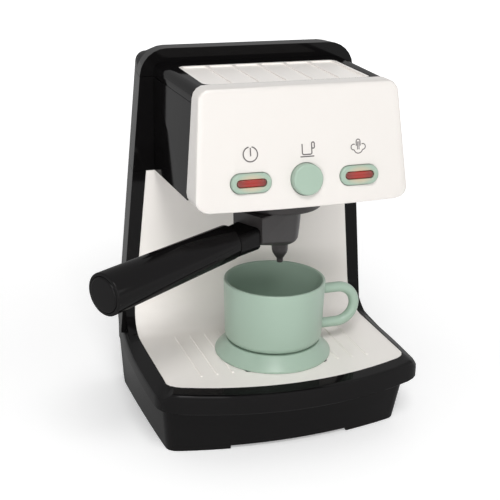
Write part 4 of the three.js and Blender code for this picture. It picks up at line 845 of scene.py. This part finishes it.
class TOYCOFFEE_OT_casing(Operator):
    """Black casing: base with column, head, top cover, back, battery door and bottom plate"""

    bl_idname = "toycoffee.casing"
    bl_label = "Black casing"

    def execute(self, context):
        looks, shapes = context.scene.toy_looks, context.scene.toy_shapes
        gloss = gloss_casing_plastic(looks)
        for node in ("lower_body", "head_housing", "top_cover", "rear_shell"):
            finer_copy(node, "black_casing", gloss, shapes.casing_edge, shapes)
        finer_copy("battery_door", "black_casing", gloss, shapes.edge, shapes)
        finer_copy("base_plate", "black_parts", dull_black_plastic(), 0, shapes)
        return {"FINISHED"}


class TOYCOFFEE_OT_panels(Operator):
    """White panels: the tray with the column's lining, and the cup rack"""

    bl_idname = "toycoffee.panels"
    bl_label = "White panels"

    def execute(self, context):
        looks, shapes = context.scene.toy_looks, context.scene.toy_shapes
        satin = satin_panel_plastic(looks)
        for node in ("tray_panel", "cup_rack"):
            finer_copy(node, "white_shell", satin, shapes.edge, shapes)
        return {"FINISHED"}


class TOYCOFFEE_OT_front_plate(Operator):
    """White front plate with the openings for the buttons"""

    bl_idname = "toycoffee.front_plate"
    bl_label = "Front plate"

    def execute(self, context):
        looks, shapes = context.scene.toy_looks, context.scene.toy_shapes
        # The plate is the panels' white, painted darker as painted shade
        plastic = satin_panel_plastic(looks, "satin_plate_plastic", PLATE_PAINTED_SHADE_FACTOR)
        finer_copy("front_plate", "white_shell", plastic, shapes.edge, shapes)
        return {"FINISHED"}


class TOYCOFFEE_OT_signs(Operator):
    """Printed signs over the buttons: power, cup and steam"""

    bl_idname = "toycoffee.signs"
    bl_label = "Printed signs"

    def execute(self, context):
        looks, shapes = context.scene.toy_looks, context.scene.toy_shapes
        ink = sign_ink(looks)
        stroke = shapes.stroke / MM
        signs = (
            ("sign_power", self.power(POWER_SIGN_X, SIGN_UP), stroke),
            ("sign_cup", self.cup(CUP_SIGN_X, SIGN_UP - CUP_SIGN_DROP), stroke),
            ("sign_steam", self.steam(STEAM_SIGN_X, SIGN_UP), stroke * STEAM_STROKE_SHARE),
        )
        for name, lines, width in signs:
            mesh = ribbon(lines, width, INK_LIFT)
            shown(name, mesh, "machine", "black_parts", ink)
        return {"FINISHED"}

    def power(self, x, up):
        """A ring, open at its top, with a bar in the opening."""
        radius, half_gap = 4.3, 12
        bar_x, bar_top, bar_foot = x + 0.1, up + 3.7, up - 1.1
        ring = arc((x, up), radius, 90 + half_gap, 450 - half_gap)
        return [ring, [(bar_x, bar_top), (bar_x, bar_foot)]]

    def cup(self, x, up):
        """A cup with a handle, over a line."""
        left, right, foot, bend = x - 3.0, x + 3.0, up + 2.2, 1.0
        brim_left, brim_right, handle_foot = up + 7.4, up + 7.9, up + 4.6
        handle_x, handle_high, handle_low, handle_bend = x + 3.9, up + 7.4, up + 5.4, 0.8
        body = [(left, brim_left), (left, foot)]
        body += arc((left + bend, foot), bend, 180, 270, 6)[1:]
        body += arc((right - bend, foot), bend, 270, 360, 6) + [(right, brim_right)]
        handle = [(right, brim_right), *arc((handle_x, handle_high), handle_bend, 120, 0, 8)]
        handle += arc((handle_x, handle_low), handle_bend, 0, -120, 8) + [(right, handle_foot)]
        return [body, handle, [(x - 4.3, up), (x + 4.4, up)]]

    def steam(self, x, up):
        """A wand with two strands that ends in a cloud."""
        half, foot, top, strand_foot, strand_x = 1.3, up + 0.6, up + 3.2, up - 1.6, 0.5
        curl_x, curl, belly_drop, belly = 3.0, 1.7, 1.0, 2.8
        wand = [(x - half, foot), (x - half, top), *arc((x, top), half, 180, 0, 12)]
        wand += [(x + half, foot)]
        strands = [[(x + side, top), (x + side, strand_foot)] for side in (-strand_x, strand_x)]
        cloud = arc((x - curl_x, up), curl, 62, 275, 16)
        cloud += arc((x, up - belly_drop), belly, 205, 335, 14)
        cloud += arc((x + curl_x, up), curl, -95, 118, 16)
        return [wand, *strands, cloud]


class TOYCOFFEE_OT_oval_buttons(Operator):
    """Oval push buttons with their lit lenses"""

    bl_idname = "toycoffee.oval_buttons"
    bl_label = "Oval buttons"

    def execute(self, context):
        looks, shapes = context.scene.toy_looks, context.scene.toy_shapes
        for side, word in ((-1, "power"), (1, "steam")):
            x = side * OVAL_X
            face = plate_rise(x)
            flange = plate_rise(OVAL_X + OVAL_LONG + FLANGE_LIP) - FLANGE_DEPTH
            glow = (on_plate_frame(x, 0, face + OVAL_RISE), GLOW_REACH)
            mint = mint_plastic(looks, "mint_plastic_" + word, glow)
            way = -side if stem_inside(word) else side
            stem = key_stem(x + way * (OVAL_LONG - STEM_RADIUS), flange)
            mesh = combined("UNION", self.key(x, face, flange), stem)
            stand_in("button_" + word, mesh, "mint_plastic", mint, shapes)
            lens_top = face + OVAL_RISE - LENS_SINK
            lit = lit_lens_plastic(looks, on_plate_frame(x, 0, lens_top))
            stand_in("lens_" + word, self.lens(x, flange, lens_top), "red_lens", lit, shapes)
        return {"FINISHED"}

    def key(self, x, face, flange):
        """The button with its flange and the window for the lens."""
        low, top = flange - FLANGE_THICK, face + OVAL_RISE
        rows = [
            (OVAL_LONG + FLANGE_LIP, OVAL_HIGH + FLANGE_LIP, low),
            (OVAL_LONG + FLANGE_LIP, OVAL_HIGH + FLANGE_LIP, flange),
            (OVAL_LONG, OVAL_HIGH, flange),
        ]
        for inset, height in rounded_edge(KEY_EDGE, top, steps=6):
            rows.append((OVAL_LONG - inset, OVAL_HIGH - inset, height))
        rows += [
            (WINDOW_LONG + WINDOW_BEVEL, WINDOW_HIGH + WINDOW_BEVEL, top),
            (WINDOW_LONG, WINDOW_HIGH, top - WINDOW_BEVEL),
            (WINDOW_LONG, WINDOW_HIGH, low),
        ]
        return loft_mesh(ovals(x, rows, steps=20), wrap=True)

    def lens(self, x, flange, top):
        """The lens in its window, with a slight crown."""
        rows = [(LENS_LONG, LENS_HIGH, flange - FLANGE_THICK), (LENS_LONG, LENS_HIGH, top - LENS_EDGE)]
        for inset, height in rounded_edge(LENS_EDGE, top, steps=4):
            rows.append((LENS_LONG - inset, LENS_HIGH - inset, height))
        rows += [(half_long, half_high, top + rise) for half_long, half_high, rise in LENS_CROWN]
        return loft_mesh(ovals(x, rows, steps=14))


def key_stem(x, flange):
    """The post behind an oval button that reaches its switch."""
    top = flange - FLANGE_THICK + STEM_SINK
    return post_mesh(on_plate_frame, x, 0, STEM_RADIUS, STEM_END, top, STEM_SIDES)


def stem_inside(word):
    """Whether the stem stands towards the machine's middle, as the solid shows."""
    node = frame["nodes"]["button_" + word].data
    deepest = max(node.vertices, key=lambda vertex: vertex.co.y).co
    side = -1 if word == "power" else 1
    return (deepest.x - MIDDLE_X) / MM * side < OVAL_X


class TOYCOFFEE_OT_round_button(Operator):
    """Round push button in the middle"""

    bl_idname = "toycoffee.round_button"
    bl_label = "Round button"

    def execute(self, context):
        looks, shapes = context.scene.toy_looks, context.scene.toy_shapes
        face = plate_rise(0)
        flange_radius = ROUND_RADIUS + FLANGE_LIP
        flange = plate_rise(flange_radius) - FLANGE_DEPTH
        low, top = flange - FLANGE_THICK, face + ROUND_RISE
        line = [
            (0, STEM_END),
            (STEM_RADIUS, STEM_END),
            (STEM_RADIUS, low),
            (flange_radius, low),
            (flange_radius, flange),
            (ROUND_RADIUS, flange),
            (ROUND_TOP_RADIUS, top, ROUND_EDGE),
            (0, top + ROUND_CROWN),
        ]
        mesh = turned_mesh(line, shapes.sides, on_plate_frame)
        stand_in("button_coffee", mesh, "mint_plastic", mint_plastic(looks), shapes)
        return {"FINISHED"}


class TOYCOFFEE_OT_group(Operator):
    """Brew group: the ring under the head and its shower disc"""

    bl_idname = "toycoffee.group"
    bl_label = "Brew group"

    def execute(self, context):
        looks, shapes = context.scene.toy_looks, context.scene.toy_shapes
        grey = grey_group_plastic(looks)
        top = RING_HIGH.z / MM
        ledge = RING_FLOOR + LEDGE_HEIGHT
        roof = ledge + LUG_ROOM_HEIGHT
        line = [
            (LEDGE_RADIUS, RING_FLOOR),
            (RING_RADIUS, RING_FLOOR, RING_EDGE),
            (RING_RADIUS, top - RING_FLANGE_THICK),
            (RING_FLANGE, top - RING_FLANGE_THICK),
            (RING_FLANGE, top),
            (RING_HOLE, top),
            (RING_HOLE, roof),
            (LUG_ROOM, roof),
            (LUG_ROOM, ledge),
            (LEDGE_RADIUS, ledge),
        ]
        ring = turned_mesh(line, shapes.sides, upright(GROUP_Y))
        low, high = RING_FLOOR - ENTRY_BELOW, ledge + GAP
        entries = [
            sector_mesh(angle, ENTRY_SPAN, LUG_ROOM, low, high) for angle in lug_angles()
        ]
        mesh = combined("DIFFERENCE", ring, *entries)
        stand_in("group_ring", mesh, "grey_plastic", grey, shapes)
        finer_copy("shower_disc", "grey_plastic", grey, DISC_EDGE, shapes)
        return {"FINISHED"}


class TOYCOFFEE_OT_portafilter(Operator):
    """Portafilter: bowl with its arm and lugs, and the spout"""

    bl_idname = "toycoffee.portafilter"
    bl_label = "Portafilter"

    def execute(self, context):
        looks, shapes = context.scene.toy_looks, context.scene.toy_shapes
        grey = grey_group_plastic(looks)
        finer_copy("portafilter_bowl", "grey_plastic", grey, BOWL_EDGE, shapes)
        top, pin_top = BOWL_FLOOR - GAP, BOWL_FLOOR + SPOUT_PIN_RISE
        line = [
            (SPOUT_BORE, SPOUT_LOW),
            (SPOUT_LIP, SPOUT_LOW, SPOUT_LIP_EDGE),
            *SPOUT_SIDE,
            (SPOUT_RADIUS, top),
            (SPOUT_PIN, top),
            (SPOUT_PIN, pin_top),
            (SPOUT_BORE, pin_top),
        ]
        mesh = turned_mesh(line, SPOUT_SIDES, hung, steps=4)
        stand_in("portafilter_spout", mesh, "grey_plastic", grey, shapes)
        return {"FINISHED"}


class TOYCOFFEE_OT_handle(Operator):
    """Handle of the portafilter: squared neck, round grip with the screw's hole, and end cap"""

    bl_idname = "toycoffee.handle"
    bl_label = "Handle"

    def execute(self, context):
        looks, shapes = context.scene.toy_looks, context.scene.toy_shapes
        gloss = gloss_casing_plastic(looks)
        finer_copy("handle_neck", "black_casing", gloss, shapes.edge, shapes)
        cap_seat = GRIP_END - CAP_DEPTH
        line = [
            (NECK_ROOM, GRIP_START),
            (GRIP_START_RADIUS, GRIP_START, GRIP_LIP),
            (GRIP_END_RADIUS, GRIP_END, GRIP_END_EDGE),
            (CAP_ROOM, GRIP_END),
            (CAP_ROOM, cap_seat),
            (GRIP_BORE, cap_seat),
            (GRIP_BORE, SCREW_SEAT),
            (SCREW_HOLE, SCREW_SEAT),
            (SCREW_HOLE, NECK_ROOM_END),
            (NECK_ROOM, NECK_ROOM_END),
        ]
        grip = turned_about_handle(line, shapes.sides)
        stand_in("handle_grip", grip, "black_casing", gloss, shapes)
        line = [
            (0, cap_seat + GAP),
            (CAP_RADIUS, cap_seat + GAP),
            (CAP_RADIUS, GRIP_END + CAP_RISE, CAP_EDGE),
            (0, GRIP_END + CAP_RISE),
        ]
        cap = turned_about_handle(line, shapes.sides, steps=10)
        stand_in("handle_end_cap", cap, "black_casing", gloss, shapes)
        return {"FINISHED"}


class TOYCOFFEE_OT_cup(Operator):
    """Cup with its looped handle"""

    bl_idname = "toycoffee.cup"
    bl_label = "Cup"

    def execute(self, context):
        looks, shapes = context.scene.toy_looks, context.scene.toy_shapes
        line = [
            (0, CUP_FLOOR + FOOT_RING_RISE),
            (FOOT_RING_RADIUS - FOOT_RING_SLOPE, CUP_FLOOR + FOOT_RING_RISE, FOOT_RING_ROOT),
            (FOOT_RING_RADIUS, CUP_FLOOR, FOOT_RING_EDGE),
            (CUP_FOOT_RADIUS, CUP_FLOOR, CUP_HEEL),
            (CUP_RIM_RADIUS, CUP_RIM, CUP_RIM_EDGE),
            (CUP_RIM_INNER, CUP_RIM, CUP_RIM_EDGE),
            (CUP_FLOOR_INNER, CUP_FLOOR + CUP_WALL, CUP_HEEL),
            (0, CUP_FLOOR + CUP_WALL),
        ]
        bowl = turned_mesh(line, shapes.sides, upright(CUP_Y), steps=8)
        mesh = combined("UNION", bowl, self.loop())
        stand_in("cup", mesh, "mint_plastic", mint_plastic(looks), shapes)
        return {"FINISHED"}

    def loop(self):
        """The handle, a bent tube whose ends sink into the wall."""
        turn = upright(CUP_Y)
        path = [(LOOP_ROOT_X, LOOP_HEIGHT + LOOP_RADIUS)]
        for k in range(LOOP_STEPS + 1):
            angle = math.radians(90 - 180 * k / LOOP_STEPS)
            x = LOOP_X + LOOP_RADIUS * math.cos(angle)
            path.append((x, LOOP_HEIGHT + LOOP_RADIUS * math.sin(angle)))
        path.append((LOOP_ROOT_X, LOOP_HEIGHT - LOOP_RADIUS))
        rings = []
        for number, (x, z) in enumerate(path):
            before = Vector(path[max(0, number - 1)])
            after = Vector(path[min(len(path) - 1, number + 1)])
            way = (after - before).normalized()
            ring = []
            for t in turn_angles(LOOP_SIDES):
                out, back = LOOP_TUBE * math.cos(t), LOOP_TUBE * math.sin(t)
                ring.append(turn(x - way.y * out, back, z + way.x * out))
            rings.append(ring)
        return loft_mesh(rings)


class TOYCOFFEE_OT_stand(Operator):
    """Cup stand clipped into the tray"""

    bl_idname = "toycoffee.stand"
    bl_label = "Cup stand"

    def execute(self, context):
        looks, shapes = context.scene.toy_looks, context.scene.toy_shapes
        top = CUP_FLOOR - GAP
        line = [
            (STAND_HOLE, top - STAND_INNER_DROP),
            (STAND_UNDER_RADIUS, top - STAND_UNDER_DROP, STAND_UNDER_BEND),
            (STAND_UNDER_FOOT, STAND_FLOOR),
            (STAND_FOOT, STAND_FLOOR),
            (STAND_FOOT, STAND_FLOOR + STAND_LIP, STAND_LIP_EDGE),
            (STAND_TOP_RADIUS, top, STAND_TOP_EDGE),
            (STAND_HOLE, top, STAND_HOLE_EDGE),
        ]
        turn = upright(CUP_Y)
        plinth = turned_mesh(line, shapes.sides, turn, steps=6)
        reach = STAND_FOOT - CLIP_RADIUS - STAND_WALL
        low, high = STAND_FLOOR - CLIP_DROP, STAND_FLOOR + CLIP_RISE
        clips = []
        for eighths in (-3, -1, 1, 3):
            angle = eighths * math.pi / 4
            x, y = reach * math.cos(angle), reach * math.sin(angle)
            clips.append(post_mesh(turn, x, y, CLIP_RADIUS, low, high, CLIP_SIDES))
        mesh = combined("UNION", plinth, *clips)
        stand_in("cup_stand", mesh, "mint_plastic", mint_plastic(looks), shapes)
        return {"FINISHED"}


class TOYCOFFEE_OT_inside(Operator):
    """What the casing holds: board, switches, lamps, speaker, cells, contacts, wires and screws"""

    bl_idname = "toycoffee.inside"
    bl_label = "Inside"

    def execute(self, context):
        shapes = context.scene.toy_shapes
        finishes = (
            (("screw", "contact"), brushed_screw_steel()),
            (("battery_upper", "battery_lower"), cell_sleeve()),
            (("wire_red",), wire_insulation("red_insulation", (0.45, 0.02, 0.02))),
            (("wire_black",), wire_insulation("black_insulation", (0.02, 0.02, 0.02))),
            (("circuit",), board_mask()),
            (("switch", "led_", "speaker"), dull_black_plastic()),
        )
        for name, node in frame["nodes"].items():
            if node.hide_render or node.get("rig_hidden"):
                continue
            fitting = [finish for words, finish in finishes if any(word in name for word in words)]
            if fitting:
                node.data.materials.clear()
                node.data.materials.append(fitting[0])
                soften(node.data, shapes.sharp)
        return {"FINISHED"}


# Stage. Each lamp has a name, a place, a target and a width in metres, and a power setting.

LAMPS = (
    ("key_softbox", (-0.95, -1.45, 0.5), (0, 0, 0.12), 0.7, "key"),
    ("side_softbox", (1.2, -1.2, 0.6), (0, 0, 0.12), 0.7, "fill"),
    ("high_softbox", (-0.2, -1.05, 1.3), (0, 0, 0.1), 0.6, "top"),
    ("low_softbox", (-0.5, -1.3, 0.18), (0, 0, 0.1), 0.6, "low"),
)

# The floor in metres, and its own glow near the part and far from it
FLOOR_REACH, FLOOR_DROP = 6.0, 0.0002
FLOOR_FADE, FLOOR_NEAR_GLOW, FLOOR_FAR_GLOW = 1.6, 0.3, 0.45

# The camera's place in millimetres, its azimuth, elevation and roll in degrees, and its
# lens and sensor in millimetres
CAMERA_PLACE = (-239.345, -713.729, 363.120)
CAMERA_ANGLES = (-19.553, 20.125, 1.292)
CAMERA_LENS, CAMERA_SENSOR = 80.06, 36.0


class TOYCOFFEE_OT_stage(Operator):
    """Floor, soft studio light, white surroundings and the camera"""

    bl_idname = "toycoffee.stage"
    bl_label = "Stage"

    def execute(self, context):
        stage = context.scene.toy_stage
        self.floor(stage)
        for name, spot, target, size, setting in LAMPS:
            self.light(name, spot, target, size, getattr(stage, setting))
        self.surroundings(context.scene, stage)
        self.camera(context.scene)
        context.scene.view_settings.view_transform = "Standard"
        return {"FINISHED"}

    def floor(self, stage):
        form = bmesh.new()
        square = ((-1, -1), (1, -1), (1, 1), (-1, 1))
        spots = [(x * FLOOR_REACH, y * FLOOR_REACH, -FLOOR_DROP) for x, y in square]
        form.faces.new([form.verts.new(spot) for spot in spots])
        mesh = finished(form)
        floor = bpy.data.objects.new("floor", mesh)
        bpy.context.scene.collection.objects.link(floor)
        finish = Finish("pale_floor")
        tint = finish.blend(finish.noise(3, 2.0, 0.5), shade(stage.floor, 0.99), full(stage.floor))
        distance = finish.vector("LENGTH", finish.place, out="Value")
        far = finish.mask(distance / FLOOR_FADE, 0.12, 0.75)
        glow = finish.seen() * (FLOOR_NEAR_GLOW + far * FLOOR_FAR_GLOW)
        light = {"Emission_Color": finish.blend(glow, BLACK, WHITE), "Emission_Strength": 1.0}
        floor.data.materials.append(finish.surface(tint, 0.7, **light))

    def light(self, name, spot, target, size, power):
        data = bpy.data.lights.new(name, "AREA")
        data.shape = "DISK"
        data.size = size
        data.energy = power
        lamp = bpy.data.objects.new(name, data)
        lamp.location = spot
        lamp.rotation_euler = (Vector(target) - Vector(spot)).to_track_quat("-Z", "Y").to_euler()
        bpy.context.scene.collection.objects.link(lamp)

    def surroundings(self, scene, stage):
        """White where it is seen, and softer as the room's own light."""
        scene.world = bpy.data.worlds.new("studio")
        scene.world.use_nodes = True
        nodes = Nodes(scene.world.node_tree)
        strength = stage.world + nodes.seen() * (1 - stage.world)
        back = nodes.node("ShaderNodeBackground", None, {"Color": WHITE, "Strength": strength})
        nodes.node("ShaderNodeOutputWorld", None, {"Surface": nodes.out(back, "Background")})

    def camera(self, scene):
        data = bpy.data.cameras.new("camera")
        data.lens = CAMERA_LENS
        data.sensor_width = CAMERA_SENSOR
        camera = bpy.data.objects.new("camera", data)
        azimuth, elevation, roll = (math.radians(value) for value in CAMERA_ANGLES)
        away = Vector((math.sin(azimuth), -math.cos(azimuth), 0))
        back = away * math.cos(elevation) + Vector((0, 0, math.sin(elevation)))
        level = Vector((math.cos(azimuth), math.sin(azimuth), 0))
        rise = back.cross(level)
        right = level * math.cos(roll) + rise * math.sin(roll)
        up = rise * math.cos(roll) - level * math.sin(roll)
        turn = Matrix((right, up, back)).transposed().to_4x4()
        camera.matrix_world = Matrix.Translation(place(*CAMERA_PLACE)) @ turn
        scene.collection.objects.link(camera)
        scene.camera = camera


class TOYCOFFEE_PT_sidebar(Panel):
    """Lists the makers in the sidebar"""

    bl_idname = "TOYCOFFEE_PT_sidebar"
    bl_label = "Toy coffee maker"
    bl_space_type = "VIEW_3D"
    bl_region_type = "UI"
    bl_category = "Coffee maker"

    def draw(self, context):
        scene = context.scene
        for settings in (scene.toy_looks, scene.toy_shapes, scene.toy_stage):
            for name in settings.__annotations__:
                self.layout.prop(settings, name)
        for maker in MAKERS:
            self.layout.operator(maker.bl_idname)


MAKERS = (
    TOYCOFFEE_OT_stage,
    TOYCOFFEE_OT_casing,
    TOYCOFFEE_OT_panels,
    TOYCOFFEE_OT_front_plate,
    TOYCOFFEE_OT_signs,
    TOYCOFFEE_OT_oval_buttons,
    TOYCOFFEE_OT_round_button,
    TOYCOFFEE_OT_group,
    TOYCOFFEE_OT_portafilter,
    TOYCOFFEE_OT_handle,
    TOYCOFFEE_OT_cup,
    TOYCOFFEE_OT_stand,
    TOYCOFFEE_OT_inside,
)
SETTINGS = {"toy_looks": LookSettings, "toy_shapes": ShapeSettings, "toy_stage": StageSettings}


def register():
    for kind in (*SETTINGS.values(), *MAKERS, TOYCOFFEE_PT_sidebar):
        bpy.utils.register_class(kind)
    for name, kind in SETTINGS.items():
        setattr(bpy.types.Scene, name, PointerProperty(type=kind))


def unregister():
    for name in SETTINGS:
        delattr(bpy.types.Scene, name)
    for kind in reversed((*SETTINGS.values(), *MAKERS, TOYCOFFEE_PT_sidebar)):
        bpy.utils.unregister_class(kind)


def main():
    register()
    for maker in MAKERS:
        group, word = maker.bl_idname.split(".")
        getattr(getattr(bpy.ops, group), word)()


if __name__ == "__main__":
    main()
